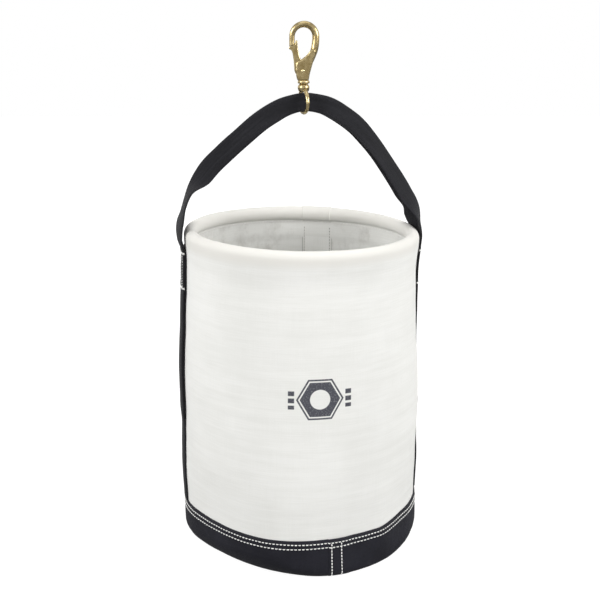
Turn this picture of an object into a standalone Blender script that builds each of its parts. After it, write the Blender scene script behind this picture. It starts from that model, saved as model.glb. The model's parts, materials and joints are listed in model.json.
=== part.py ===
"""Canvas tool bucket: a canvas tube on a hoop, a sewn black boot, a web handle and a swivel snap hook.

Metres, +Z up, origin on the ground under the bucket's centre. The strap's arch lies in the XZ plane, and
the snap hook stands upright at its top, with its gate on the -X side.
"""

import math

import bmesh
import bpy
from mathutils import Matrix, Vector

# ---- driving dimensions -------------------------------------------------------------------------------
RIM_RADIUS = 0.1524  # outside of the rolled rim: 12 inches across
RIM_HEIGHT = 0.422  # top of the rolled rim
CANVAS = 0.0016  # heavy duck canvas
GAP = 0.0003  # between pieces that touch on the real bucket
RING_STEPS = 48  # facets round the bucket

ROLL_RADIUS = 0.008  # the hem's roll over the hoop
HOOP_RADIUS = 0.006
HOOP_BORE = 0.0042
HOOP_SPLIT = math.radians(1.2)  # half the gap between the hoop's two ends
SPLICE_HALF = math.radians(10)
HEM_OUTER_EDGE = 0.3955
HEM_INNER_EDGE = 0.3985

WALL_BOTTOM = 0.0064
WALL_TOP = 0.4035
# Outside radius of the canvas wall at heights above the ground: it bells out towards the boot.
WALL_RADII = (
    (WALL_BOTTOM, 0.1540),
    (0.0145, 0.1570),
    (0.0500, 0.1572),
    (0.1000, 0.1580),
    (0.1800, 0.1558),
    (0.2600, 0.1534),
    (0.3500, 0.1505),
    (WALL_TOP, 0.1489),
)

BOOT_LEATHER = 0.0024
BOOT_HEIGHT = 0.0528
BOOT_CORNER = 0.0142  # radius of the boot's lower edge
BOTTOM_RADIUS = 0.1460
BOARD_THICK = 0.0030
BOARD_RADIUS = 0.1478

SEAM_ANGLE = math.radians(80)  # the wall's seam: at the back, a little to the right
SEAM_HALF = 0.0215
BOOT_SEAM_X = 0.0463  # the boot band's seam: at the front, to the right
BOOT_SEAM_HALF = 0.0063
THREAD = 0.0009  # side of a sewn thread line

WEB_WIDTH = 0.0508  # 2 inch webbing
WEB_THICK = 0.0024
SIDE_THICK = 0.0046  # the webbing is doubled where it is sewn to the wall
STRAP_TURN = math.radians(8)  # the straps sit turned from the X axis, and the handle with them
WEB_BOTTOM = BOOT_HEIGHT + 0.0008
TACK_TOP = 0.389
TACK_BOTTOM = 0.340
HINGE_Z = 0.4490  # where the free handle swings from
SWING_RADIUS = WEB_WIDTH / 2
FLAT_X = 0.1530  # inner face of the webbing where it passes the rim

EYE_CENTRE = 0.5802  # the swivel eye's ring, on the strap's top
EYE_BORE = 0.0131
EYE_WIRE = 0.0023
EYE_TURN = math.radians(20)  # the ring stands askew on the strap, and swings in its own plane
STRAP_SQUEEZE = 0.0234  # the folded strap's height inside the ring
STRAP_TOP = EYE_CENTRE + STRAP_SQUEEZE / 2
FOLD_START = HINGE_Z + 0.004  # the webbing folds in half over this run of height
FOLD_RUN = 0.036
HANG_X = 0.0045  # the hook hangs a little to the right of the bucket's middle
# The strap's outer line between each hinge and its top: (distance from the middle, height).
RIGHT_BEND = (
    (0.1508, 0.4630),
    (0.1355, 0.4860),
    (0.1180, 0.5110),
    (0.1000, 0.5365),
    (0.0810, 0.5590),
    (0.0580, 0.5770),
    (0.0370, 0.5872),
    (0.0190, 0.5912),
)
LEFT_BEND = (
    (0.1524, 0.4640),
    (0.1460, 0.4780),
    (0.1360, 0.4925),
    (0.1236, 0.5085),
    (0.1040, 0.5275),
    (0.0806, 0.5480),
    (0.0550, 0.5690),
    (0.0300, 0.5835),
    (0.0080, 0.5903),
)

COLLAR_Z = 0.6034  # underside of the hook's collar
COLLAR_TOP = 0.6078
COLLAR_RADIUS = 0.0073
SHANK_RADIUS = 0.0027
SHANK_BORE = 0.0030
SHANK_HEAD = 0.0039
HOOK_HALF = 0.0058  # half the thickness of the hook's shank block
SLOT_HALF = 0.0030
GATE_HALF = 0.0026
GATE_PIVOT = Vector((-0.0010, 0.0, 0.6190))
GATE_TIP_Z = 0.6535
PIN_RADIUS = 0.0015
PIN_BORE = 0.0018
PIN_REACH = Vector((0.0, 0.01, 0.0))  # a drill through the hook, out of both sides
HEAD_POCKET_TOP = 0.6122  # room above the shank's head
SPRING_Z = 0.6262
SPRING_RADIUS = 0.0016
SPRING_WIRE = 0.0003
SPRING_TURNS = 4
SPRING_ENDS = (0.0027, 0.0058)  # shut in behind the gate, which swings up to it


# ---- helpers ------------------------------------------------------------------------------------------
def clear_scene():
    for obj in list(bpy.data.objects):
        bpy.data.objects.remove(obj)


def make_material(name, colour, roughness, metallic=0.0):
    material = bpy.data.materials.new(name)
    material.use_nodes = True
    shader = material.node_tree.nodes["Principled BSDF"]
    shader.inputs["Base Color"].default_value = (*colour, 1.0)
    shader.inputs["Roughness"].default_value = roughness
    shader.inputs["Metallic"].default_value = metallic
    return material


def finish(name, bm, material=None):
    """The object made of this bmesh, with its faces pointing out and round parts shaded smooth."""
    bmesh.ops.recalc_face_normals(bm, faces=bm.faces)
    mesh = bpy.data.meshes.new(name)
    bm.to_mesh(mesh)
    bm.free()
    mesh.shade_smooth()
    mesh.set_sharp_from_angle(angle=math.radians(35))
    obj = bpy.data.objects.new(name, mesh)
    bpy.context.scene.collection.objects.link(obj)
    if material:
        mesh.materials.append(material)
    return obj


def turned(name, profile, material, steps=RING_STEPS):
    """A closed (radius, height) outline spun round the Z axis. Points at radius 0 close on the axis."""
    bm = bmesh.new()
    points = [bm.verts.new((radius, 0.0, height)) for radius, height in profile]
    on_axis = [radius < 1e-9 for radius, _ in profile]
    edges = [
        bm.edges.new((points[i], points[(i + 1) % len(points)]))
        for i in range(len(points))
        if not (on_axis[i] and on_axis[(i + 1) % len(points)])
    ]
    bmesh.ops.spin(
        bm,
        geom=points + edges,
        axis=(0, 0, 1),
        cent=(0, 0, 0),
        angle=2 * math.pi,
        steps=steps,
        use_merge=True,
    )
    bmesh.ops.remove_doubles(bm, verts=bm.verts, dist=1e-6)
    return finish(name, bm, material)


def lofted(name, sections, material, closed=False):
    """Rings of equally many points, joined side to side. Both ends are capped unless the loft is closed."""
    bm = bmesh.new()
    rings = [[bm.verts.new(point) for point in section] for section in sections]
    count = len(rings[0])
    pairs = list(zip(rings, rings[1:]))
    if closed:
        pairs.append((rings[-1], rings[0]))
    for first, second in pairs:
        for i in range(count):
            j = (i + 1) % count
            bm.faces.new((first[i], first[j], second[j], second[i]))
    if not closed:
        bm.faces.new(rings[0])
        bm.faces.new(rings[-1])
    bmesh.ops.triangulate(bm, faces=bm.faces)
    return finish(name, bm, material)


def extruded(name, outline, low_y, high_y, material=None):
    """An outline of (x, z) points, extruded along Y."""
    bm = bmesh.new()
    face = bm.faces.new([bm.verts.new((x, low_y, z)) for x, z in outline])
    made = bmesh.ops.extrude_face_region(bm, geom=[face])["geom"]
    moved = [item for item in made if isinstance(item, bmesh.types.BMVert)]
    bmesh.ops.translate(bm, verts=moved, vec=(0, high_y - low_y, 0))
    return finish(name, bm, material)


def rod(name, start, end, radius, sides=16, material=None):
    """A cylinder between two points."""
    start, end = Vector(start), Vector(end)
    turn = (end - start).to_track_quat("Z", "Y").to_matrix().to_4x4()
    bm = bmesh.new()
    bmesh.ops.create_cone(
        bm,
        cap_ends=True,
        segments=sides,
        radius1=radius,
        radius2=radius,
        depth=(end - start).length,
        matrix=Matrix.Translation((start + end) / 2) @ turn,
    )
    return finish(name, bm, material)


def box(name, low, high, material=None):
    size, centre = Vector(high) - Vector(low), (Vector(high) + Vector(low)) / 2
    bm = bmesh.new()
    bmesh.ops.create_cube(bm, size=1, matrix=Matrix.Translation(centre) @ Matrix.Diagonal((*size, 1)))
    return finish(name, bm, material)


def tube_mesh(name, points, radii, sides, material=None):
    """A round tube along points with a radius at each, as a mesh made from a bevelled curve."""
    curve = bpy.data.curves.new(name + "_line", "CURVE")
    curve.dimensions = "3D"
    curve.bevel_depth = 1.0
    curve.bevel_resolution = sides // 2 - 2
    curve.use_fill_caps = True
    spline = curve.splines.new("POLY")
    spline.points.add(len(points) - 1)
    for spot, point, radius in zip(spline.points, points, radii):
        spot.co = (*point, 1.0)
        spot.radius = radius
    holder = bpy.data.objects.new(name + "_line", curve)
    bpy.context.scene.collection.objects.link(holder)
    bm = bmesh.new()
    bm.from_mesh(bpy.data.meshes.new_from_object(holder))
    bpy.data.objects.remove(holder)
    bmesh.ops.remove_doubles(bm, verts=bm.verts, dist=1e-6)
    return finish(name, bm, material)


def boolean(target, tool, operation):
    """Joins or cuts target with tool, which stays in the scene as a hidden helper."""
    tool.hide_render = True
    tool.display_type = "WIRE"
    modifier = target.modifiers.new(operation.lower() + "_" + tool.name, "BOOLEAN")
    modifier.operation = operation
    modifier.object = tool


def interpolate(table, at):
    """The value of a table of (place, value) pairs at a place between them."""
    for (low, first), (high, second) in zip(table, table[1:]):
        if at <= high:
            share = max(0.0, (at - low) / (high - low))
            return first + (second - first) * share
    return table[-1][1]


def smooth_step(share):
    share = min(1.0, max(0.0, share))
    return share * share * (3 - 2 * share)


def arc(centre, radius, start_deg, end_deg, steps):
    """Points (x, z) on an arc, from one angle to another."""
    angles = [math.radians(start_deg + (end_deg - start_deg) * i / steps) for i in range(steps + 1)]
    return [(centre[0] + radius * math.cos(a), centre[1] + radius * math.sin(a)) for a in angles]


def smooth_line(points, count):
    """count points along a Catmull-Rom curve through the given (x, z) points."""
    ends = [points[0]] + list(points) + [points[-1]]
    line = []
    spans = len(points) - 1
    for i in range(count):
        place = i / (count - 1) * spans
        span = min(int(place), spans - 1)
        t = place - span
        a, b, c, d = (Vector(p) for p in ends[span : span + 4])
        bend = (2 * a - 5 * b + 4 * c - d) * t**2
        twist = (3 * b - a - 3 * c + d) * t**3
        line.append(0.5 * (2 * b + (c - a) * t + bend + twist))
    return line


# ---- the canvas body and its hoop ---------------------------------------------------------------------
def wall_radius(z):
    return interpolate(WALL_RADII, z)


def make_canvas_wall(canvas):
    outside = [(radius, z) for z, radius in WALL_RADII]
    inside = [(radius - CANVAS, z) for z, radius in reversed(WALL_RADII)]
    return turned("canvas_wall", outside + inside, canvas)


def roll_centre():
    return (RIM_RADIUS - ROLL_RADIUS, RIM_HEIGHT - ROLL_RADIUS)


def make_rim_hem(canvas):
    """The hem: outer leaf, roll over the hoop, and inner leaf, with the wall's top edge held between."""
    centre = roll_centre()
    leaf_out = wall_radius(HEM_OUTER_EDGE) + GAP
    leaf_in = wall_radius(HEM_INNER_EDGE) - CANVAS - GAP
    outside = [(leaf_out + CANVAS, HEM_OUTER_EDGE)]
    outside += arc(centre, ROLL_RADIUS, -20, 200, 7)
    outside += [(leaf_in - CANVAS, HEM_INNER_EDGE)]
    inside = [(leaf_in, HEM_INNER_EDGE)]
    inside += arc(centre, ROLL_RADIUS - CANVAS, 200, -20, 7)
    inside += [(leaf_out, HEM_OUTER_EDGE)]
    return turned("rim_hem", outside + inside, canvas)


def ring_arc(radius, bore, start, end, steps, name, material):
    """A round bar or, with a bore, a pipe along an arc of the hoop's circle."""
    centre_r, centre_z = roll_centre()
    sides = 8

    def section(angle):
        outward = Vector((math.cos(angle), math.sin(angle), 0))
        middle = outward * centre_r + Vector((0, 0, centre_z))
        spokes = [2 * math.pi * (i + 0.5) / sides for i in range(sides)]
        rays = [outward * math.cos(s) + Vector((0, 0, math.sin(s))) for s in spokes]
        return [[middle + ray * size for ray in rays] for size in (radius, bore)]

    angles = [start + (end - start) * i / steps for i in range(steps + 1)]
    if not bore:
        return lofted(name, [section(a)[0] for a in angles], material)
    bm = bmesh.new()
    rings = [[[bm.verts.new(p) for p in loop] for loop in section(a)] for a in angles]
    for first, second in zip(rings, rings[1:]):
        for k in (0, 1):
            for i in range(sides):
                j = (i + 1) % sides
                bm.faces.new((first[k][i], first[k][j], second[k][j], second[k][i]))
    for outer, inner in (rings[0], rings[-1]):
        for i in range(sides):
            j = (i + 1) % sides
            bm.faces.new((outer[i], outer[j], inner[j], inner[i]))
    return finish(name, bm, material)


def make_hoop(plastic):
    """A split pipe hoop, and the dowel that joins its ends."""
    back = math.pi / 2
    start, end = back + HOOP_SPLIT, back + 2 * math.pi - HOOP_SPLIT
    ring_arc(HOOP_RADIUS, HOOP_BORE, start, end, RING_STEPS, "top_hoop", plastic)
    ring_arc(HOOP_BORE - 0.0006, 0.0, back - SPLICE_HALF, back + SPLICE_HALF, 6, "hoop_splice", plastic)


# ---- strips and threads that follow the wall ----------------------------------------------------------
def wall_patch(name, angle, half_width, heights, radius_at, thickness_at, material, across=4):
    """A strip that lies on the round wall: centred at an angle, running up the given heights."""
    sections = []
    for z in heights:
        low, thickness = radius_at(z), thickness_at(z)
        spread = half_width / low
        steps = [angle + spread * (2 * i / across - 1) for i in range(across + 1)]
        outer = [Vector(((low + thickness) * math.cos(a), (low + thickness) * math.sin(a), z)) for a in steps]
        inner = [Vector((low * math.cos(a), low * math.sin(a), z)) for a in reversed(steps)]
        sections.append(outer + inner)
    return lofted(name, sections, material)


def heights_between(low, high, count):
    return [low + (high - low) * i / (count - 1) for i in range(count)]


def wall_heights(low, high):
    """The heights where the wall's outline bends, between two ends."""
    return [low] + [z for z, _ in WALL_RADII if low < z < high] + [high]


def make_wall_seam(canvas, thread):
    """The reinforcing strip behind the wall's seam, inside the bucket, and its two rows of thread."""
    low, high = WALL_BOTTOM + 0.004, HEM_INNER_EDGE - 0.002
    heights = wall_heights(low, high)
    sagitta = 0.0004  # the faceted wall lies this much inside its true circle

    def behind(z):
        return wall_radius(z) - CANVAS - GAP - sagitta - CANVAS

    wall_patch("wall_seam_strip", SEAM_ANGLE, SEAM_HALF, heights, behind, lambda z: CANVAS, canvas)
    for side, label in ((-1, "left"), (1, "right")):
        angle = SEAM_ANGLE - side * (SEAM_HALF - 0.004) / 0.15
        wall_patch(
            f"seam_thread_{label}",
            angle,
            THREAD / 2,
            wall_heights(low + 0.004, high - 0.004),
            lambda z: behind(z) - GAP - THREAD,
            lambda z: THREAD,
            thread,
            across=1,
        )


def thread_ring(name, radius, z, thread):
    low, high, outer = z - THREAD / 2, z + THREAD / 2, radius + THREAD
    turned(name, [(radius, low), (outer, low), (outer, high), (radius, high)], thread)


def make_hem_thread(thread):
    """The row of thread through the hem, seen on its inner leaf, which slopes in towards the roll."""
    leaf = (HEM_INNER_EDGE, wall_radius(HEM_INNER_EDGE) - 2 * CANVAS - GAP)
    roll_x, roll_z = arc(roll_centre(), ROLL_RADIUS, 200, 200, 1)[0]
    z = HEM_INNER_EDGE + 0.003
    thread_ring("hem_thread", interpolate((leaf, (roll_z, roll_x)), z + THREAD) - GAP - THREAD, z, thread)


# ---- the boot -----------------------------------------------------------------------------------------
def boot_radius(z):
    """Outside radius of the boot's side, which leans in a little towards its top edge."""
    foot = BOTTOM_RADIUS + GAP + BOOT_CORNER
    return interpolate(((BOOT_CORNER, foot), (BOOT_HEIGHT, wall_radius(0.05) + GAP + BOOT_LEATHER)), z)


def boot_profile(offset):
    """The boot band's outside, moved in by offset: top edge, side and the corner that curls under."""
    centre = (BOTTOM_RADIUS + GAP, BOOT_CORNER)
    return [(boot_radius(BOOT_HEIGHT) - offset, BOOT_HEIGHT)] + arc(centre, BOOT_CORNER - offset, 0, -90, 5)


def disc(name, radius, low, high, material):
    turned(name, [(0, low), (radius, low), (radius, high), (0, high)], material)


def make_boot(leather, board, canvas, thread):
    turned("boot_band", boot_profile(0.0) + boot_profile(BOOT_LEATHER)[::-1], leather)
    disc("boot_bottom", BOTTOM_RADIUS, 0, BOOT_LEATHER, leather)
    low = BOOT_LEATHER + GAP
    disc("bottom_board", BOARD_RADIUS, low, low + BOARD_THICK, board)
    floor = low + BOARD_THICK + GAP
    disc("canvas_floor", WALL_RADII[0][1] - CANVAS - GAP, floor, floor + CANVAS, canvas)
    for label, drop in (("upper", 0.004), ("lower", 0.010)):
        z = BOOT_HEIGHT - drop
        thread_ring(f"boot_thread_{label}", boot_radius(z - THREAD) + GAP, z, thread)
    for side, label in ((-1, "left"), (1, "right")):
        angle = -math.acos((BOOT_SEAM_X + side * BOOT_SEAM_HALF) / boot_radius(BOOT_HEIGHT))
        wall_patch(
            f"boot_seam_thread_{label}",
            angle,
            THREAD / 2,
            heights_between(BOOT_CORNER + 0.002, BOOT_HEIGHT - 0.012, 3),
            lambda z: boot_radius(z) + GAP,
            lambda z: THREAD,
            thread,
            across=1,
        )


# ---- the webbing --------------------------------------------------------------------------------------
def strap_radius(z):
    """Inner face of the side webbing: on the canvas, then out over the hem and the rolled rim."""
    on_hem = wall_radius(HEM_OUTER_EDGE) + 2 * GAP + CANVAS
    table = [(zed, radius + GAP) for zed, radius in WALL_RADII if WEB_BOTTOM <= zed < TACK_TOP]
    table = [(WEB_BOTTOM, wall_radius(WEB_BOTTOM) + GAP)] + table
    table += [(TACK_TOP, wall_radius(TACK_TOP) + GAP), (HEM_OUTER_EDGE - 0.001, on_hem), (0.405, FLAT_X)]
    return interpolate(table + [(RIM_HEIGHT, FLAT_X)], z)


def side_thickness(z):
    """Two layers of webbing on the wall, one where it leaves the wall to pass the rim."""
    return interpolate(((TACK_TOP + 0.001, SIDE_THICK), (0.4000, WEB_THICK)), z)


def make_side_straps(webbing, thread):
    top = HINGE_Z - SWING_RADIUS - GAP
    heights = [WEB_BOTTOM, 0.1, 0.18, 0.26, TACK_BOTTOM, 0.35, TACK_TOP, HEM_OUTER_EDGE - 0.001, 0.405, top]
    for angle, label in ((math.pi + STRAP_TURN, "left"), (STRAP_TURN, "right")):
        wall_patch(f"side_strap_{label}", angle, WEB_WIDTH / 2, heights, strap_radius, side_thickness, webbing)
        make_tack(label, angle, thread)


def make_tack(label, angle, thread):
    """The box of thread with a cross in it that fastens one side strap: a frame and two strips, joined."""
    wide = WEB_WIDTH / 2 - 0.005
    middle = (TACK_TOP + TACK_BOTTOM) / 2
    tall = (TACK_TOP - TACK_BOTTOM) / 2
    half = THREAD / 2

    def on_strap(across, up, lift):
        radius = strap_radius(middle + up) + side_thickness(middle + up) + GAP + lift
        turn = angle + across / radius
        return Vector((radius * math.cos(turn), radius * math.sin(turn), middle + up))

    def section(at, offset, inset):
        low, high = inset, THREAD - inset
        corners = ((at + offset, low), (at + offset, high), (at - offset, high), (at - offset, low))
        return [on_strap(spot.x, spot.y, lift) for spot, lift in corners]

    across = [wide * (2 * i / 6 - 1) for i in range(7)]
    path = [(x, tall) for x in across] + [(x, -tall) for x in reversed(across)]
    frame = []
    for x, up in path:
        out = half * math.copysign(1, x) if abs(x) > wide - half else 0.0
        frame.append(section(Vector((x, up)), Vector((out, half * math.copysign(1, up))), 0.0))
    tack = lofted(f"strap_tack_{label}", frame, thread, closed=True)
    for inset, lean in ((0.00010, 1), (0.00020, -1)):
        start, end = Vector((-wide, -tall * lean)), Vector((wide, tall * lean))
        side = (end - start).orthogonal().normalized() * half
        runs = [section(start.lerp(end, i / 6), side, inset) for i in range(7)]
        boolean(tack, lofted(f"tack_{label}_{'rising' if lean > 0 else 'falling'}", runs, thread), "UNION")


def handle_line(bend):
    """The strap's outer line from one hinge to its top, in the XZ plane, through the given bend."""
    side = FLAT_X + WEB_THICK
    points = ((side, HINGE_Z), (side - 0.0008, HINGE_Z + 0.007), *bend)
    return smooth_line(points, 26)


def fold_section(place, inward, leaf, opening):
    """The webbing's section at a place on its outer line: two leaves that meet there.

    opening is the angle of each leaf from the inward direction: 0 folded shut, a right angle flat.
    """
    thick = WEB_THICK
    mouth = max(leaf * math.sin(opening), 0.00015)
    reach = leaf * math.cos(opening)
    filled = 1 - min(1.0, mouth / 0.006)
    start = 0.001

    def at(depth, across):
        return Vector((place.x + inward.x * (depth + thick), across, place.y + inward.y * (depth + thick)))

    def leaf_corner(side, along, lift):
        depth = along * math.cos(opening) - lift * math.sin(opening)
        across = side * (along * math.sin(opening) + lift * math.cos(opening))
        return at(depth, across)

    return [
        at(-thick, 0.0),
        leaf_corner(1, start, thick),
        leaf_corner(1, leaf, thick),
        at(reach, mouth),
        at(reach * filled, 0.0),
        at(reach, -mouth),
        leaf_corner(-1, leaf, thick),
        leaf_corner(-1, start, thick),
    ]


def handle_half(line):
    """Sections of one half of the free strap: a round-ended ear at the hinge, then along the line."""
    run = []
    for drop in (0.0247, 0.0225, 0.0185, 0.0135, 0.0070):
        width = math.sqrt(SWING_RADIUS**2 - drop**2)
        run.append(fold_section(Vector((line[0].x, HINGE_Z - drop)), Vector((-1, 0)), width, math.pi / 2))
    for i, place in enumerate(line[:-1]):
        ahead = line[i + 1] - line[max(i - 1, 0)]
        inward = Vector((-ahead.y, ahead.x)).normalized()
        opening = math.pi / 2 * (1 - smooth_step((place.y - FOLD_START) / FOLD_RUN))
        squeeze = smooth_step((place.y - 0.560) / 0.028)
        leaf = WEB_WIDTH / 2 + (STRAP_SQUEEZE - WEB_THICK - WEB_WIDTH / 2) * squeeze
        run.append(fold_section(place, inward, leaf, opening))
    return run


def make_handle(webbing):
    """The free part of the strap: flat and round-ended at each hinge, folded in half over the top."""
    right = handle_half(handle_line(RIGHT_BEND + ((HANG_X, STRAP_TOP),)))
    left = handle_half(handle_line(LEFT_BEND + ((-HANG_X, STRAP_TOP),)))
    left = [[Vector((-point.x, point.y, point.z)) for point in section] for section in left]
    top = fold_section(Vector((HANG_X, STRAP_TOP)), Vector((0, -1)), STRAP_SQUEEZE - WEB_THICK, 0.0)
    handle = lofted("handle_strap", right + [top] + left[::-1], webbing)
    handle.data.transform(Matrix.Rotation(STRAP_TURN, 4, "Z"))
    return handle


# ---- the snap hook ------------------------------------------------------------------------------------
def make_eye(brass):
    """The swivel eye: a ring round the strap, a boss on top, and a shank with a peened head."""
    centre = Vector((0, 0, EYE_CENTRE))
    across = Vector((-math.sin(EYE_TURN), math.cos(EYE_TURN), 0))
    axis = across.cross(Vector((0, 0, 1)))
    ring_radius = EYE_BORE + EYE_WIRE
    sections = []
    steps, sides = 28, 8
    for i in range(steps):
        turn = 2 * math.pi * i / steps
        outward = across * math.cos(turn) + Vector((0, 0, math.sin(turn)))
        middle = centre + outward * ring_radius
        spokes = [2 * math.pi * k / sides for k in range(sides)]
        sections.append([middle + (outward * math.cos(s) + axis * math.sin(s)) * EYE_WIRE for s in spokes])
    eye = lofted("swivel_eye", sections, brass, closed=True)
    ring_top = EYE_CENTRE + EYE_BORE
    head_low = COLLAR_TOP + GAP
    shank = turned(
        "eye_shank",
        [
            (0, ring_top + 0.0006),
            (0.0042, ring_top + 0.0006),
            (0.0066, ring_top + 0.0036),
            (0.0070, ring_top + 0.0064),
            (0.0056, COLLAR_Z - GAP),
            (SHANK_RADIUS, COLLAR_Z - GAP),
            (SHANK_RADIUS, head_low),
            (SHANK_HEAD, head_low),
            (SHANK_HEAD - 0.0008, head_low + 0.0018),
            (0, head_low + 0.0022),
        ],
        brass,
        steps=20,
    )
    boolean(eye, shank, "UNION")
    return eye


def hook_line():
    """Points and radii along the hook's loop, from inside the shank block round to the nose."""
    bow = (
        (0.0030, 0.6215, 0.0050),
        (0.0068, 0.6300, 0.0050),
        (0.0105, 0.6375, 0.0047),
        (0.0137, 0.6450, 0.0044),
        (0.0150, 0.6530, 0.0043),
    )
    crown_centre, crown_radius = (0.0007, 0.6606), 0.0146
    crown = arc(crown_centre, crown_radius, 0, 180, 12)
    radii = [0.0043 - 0.0009 * i / 12 for i in range(13)]
    nose = (-0.0140, 0.6555, 0.0033), (-0.0136, 0.6512, 0.0032)
    line = [(x, 0.0, z) for x, z, _ in bow]
    line += [(x, 0.0, z) for x, z in crown]
    line += [(x, 0.0, z) for x, z, _ in nose]
    return line, [r for _, _, r in bow] + radii + [r for _, _, r in nose]


def make_hook_body(brass):
    """The hook: shank block and collar, loop and nose, slotted for the gate."""
    outline = [
        (-0.0064, COLLAR_TOP - 0.0005),
        (0.0056, COLLAR_TOP - 0.0005),
        (0.0068, 0.6160),
        (0.0100, 0.6270),
        (0.0125, 0.6345),
        (0.0075, 0.6350),
        (-0.0040, 0.6285),
        (-0.0075, 0.6260),
        (-0.0082, 0.6180),
    ]
    body = extruded("hook_body", outline, -HOOK_HALF, HOOK_HALF, brass)
    bevel = body.modifiers.new("rounded", "BEVEL")
    bevel.width = 0.0014
    bevel.segments = 2
    bevel.limit_method = "ANGLE"
    line, radii = hook_line()
    boolean(body, tube_mesh("hook_loop", line, radii, 10), "UNION")
    collar = turned(
        "hook_collar",
        [
            (0, COLLAR_Z),
            (COLLAR_RADIUS - 0.0008, COLLAR_Z),
            (COLLAR_RADIUS, COLLAR_Z + 0.0012),
            (COLLAR_RADIUS, COLLAR_TOP - 0.0012),
            (COLLAR_RADIUS - 0.0012, COLLAR_TOP),
            (0, COLLAR_TOP),
        ],
        None,
        steps=20,
    )
    boolean(body, collar, "UNION")
    slot = extruded("gate_slot", gate_slot_outline(), -SLOT_HALF, SLOT_HALF)
    boolean(body, slot, "DIFFERENCE")
    cuts = (
        rod("head_pocket", (0, 0, COLLAR_TOP), (0, 0, HEAD_POCKET_TOP), SHANK_HEAD + 0.0005),
        rod("shank_bore", (0, 0, COLLAR_Z - 0.002), (0, 0, COLLAR_TOP + 0.001), SHANK_BORE),
        rod("pin_bore", GATE_PIVOT - PIN_REACH, GATE_PIVOT + PIN_REACH, PIN_BORE, 12),
        rod("spring_pocket", (-0.004, 0, SPRING_Z), (0.0062, 0, SPRING_Z), SPRING_RADIUS + 0.0008, 12),
    )
    for cut in cuts:
        boolean(body, cut, "DIFFERENCE")
    return body


def gate_slot_outline():
    """The slot that the gate sits and swings in: open to the -X side and into the loop."""
    return [
        (-0.0120, COLLAR_TOP + 0.0001),
        (0.0030, COLLAR_TOP + 0.0001),
        (0.0034, 0.6150),
        (0.0026, 0.6205),
        (0.0078, 0.6400),
        (-0.0120, 0.6400),
    ]


def make_gate(brass):
    """The gate: a lever from its knuckle on the pin up to a notched tip inside the hook's nose."""
    tip = Vector((-0.0085, 0, GATE_TIP_Z))
    foot = Vector((GATE_PIVOT.x - 0.0030, 0, GATE_PIVOT.z - 0.0052))
    outline = [
        (foot.x - 0.0018, foot.z),
        (foot.x + 0.0016, foot.z),
        (GATE_PIVOT.x + 0.0030, GATE_PIVOT.z - 0.0008),
        (GATE_PIVOT.x + 0.0026, GATE_PIVOT.z + 0.0028),
        (-0.0022, 0.6290),
        (-0.0049, 0.6420),
        (tip.x + 0.0026, tip.z),
        (tip.x - 0.0012, tip.z),
        (-0.0098, 0.6495),
        (-0.0122, 0.6490),
        (-0.0118, 0.6455),
        (-0.0094, 0.6330),
        (-0.0072, 0.6210),
    ]
    gate = extruded("gate_lever", outline, -GATE_HALF, GATE_HALF, brass)
    bevel = gate.modifiers.new("rounded", "BEVEL")
    bevel.width = 0.0006
    bevel.segments = 1
    bevel.limit_method = "ANGLE"
    bevel.angle_limit = math.radians(50)
    bore = rod("knuckle_bore", GATE_PIVOT - PIN_REACH, GATE_PIVOT + PIN_REACH, PIN_BORE, 12)
    boolean(gate, bore, "DIFFERENCE")
    return gate


def make_pin_and_spring(brass, steel):
    """The rivet that the gate turns on, and the small coil spring that closes it."""
    half = Vector((0, HOOK_HALF + 0.0008, 0))
    pin = rod("gate_pin", GATE_PIVOT - half, GATE_PIVOT + half, PIN_RADIUS, 12, brass)
    for side, label in ((-1, "front"), (1, "back")):
        inner = GATE_PIVOT + Vector((0, side * (HOOK_HALF + GAP), 0))
        outer = GATE_PIVOT + Vector((0, side * (HOOK_HALF + 0.0012), 0))
        boolean(pin, rod(f"pin_head_{label}", inner, outer, PIN_RADIUS + 0.0009, 12), "UNION")
    start, end = SPRING_ENDS
    steps = SPRING_TURNS * 10
    points = []
    for i in range(steps + 1):
        turn = 2 * math.pi * SPRING_TURNS * i / steps
        along = start + (end - start) * i / steps
        points.append((along, SPRING_RADIUS * math.cos(turn), SPRING_Z + SPRING_RADIUS * math.sin(turn)))
    return pin, tube_mesh("gate_spring", points, [SPRING_WIRE] * len(points), 6, steel)


# ---- the whole bucket ---------------------------------------------------------------------------------
def pivot(name, place, parent, parent_place, pieces, aside=0.0):
    """An empty on a joint's axis, carrying the pieces that turn on it and the cutters that shape them.

    The pieces of the hook are made upright over the origin, and stand aside with their empty.
    """
    empty = bpy.data.objects.new(name, None)
    bpy.context.scene.collection.objects.link(empty)
    empty.empty_display_size = 0.02
    empty.parent = parent
    empty.location = place - parent_place + Vector((aside, 0, 0))
    for piece in pieces:
        helpers = [item.object for item in piece.modifiers if item.type == "BOOLEAN"]
        for obj in [piece] + helpers:
            obj.data.transform(Matrix.Translation(-place))
            obj.parent = empty
    return empty


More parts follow.
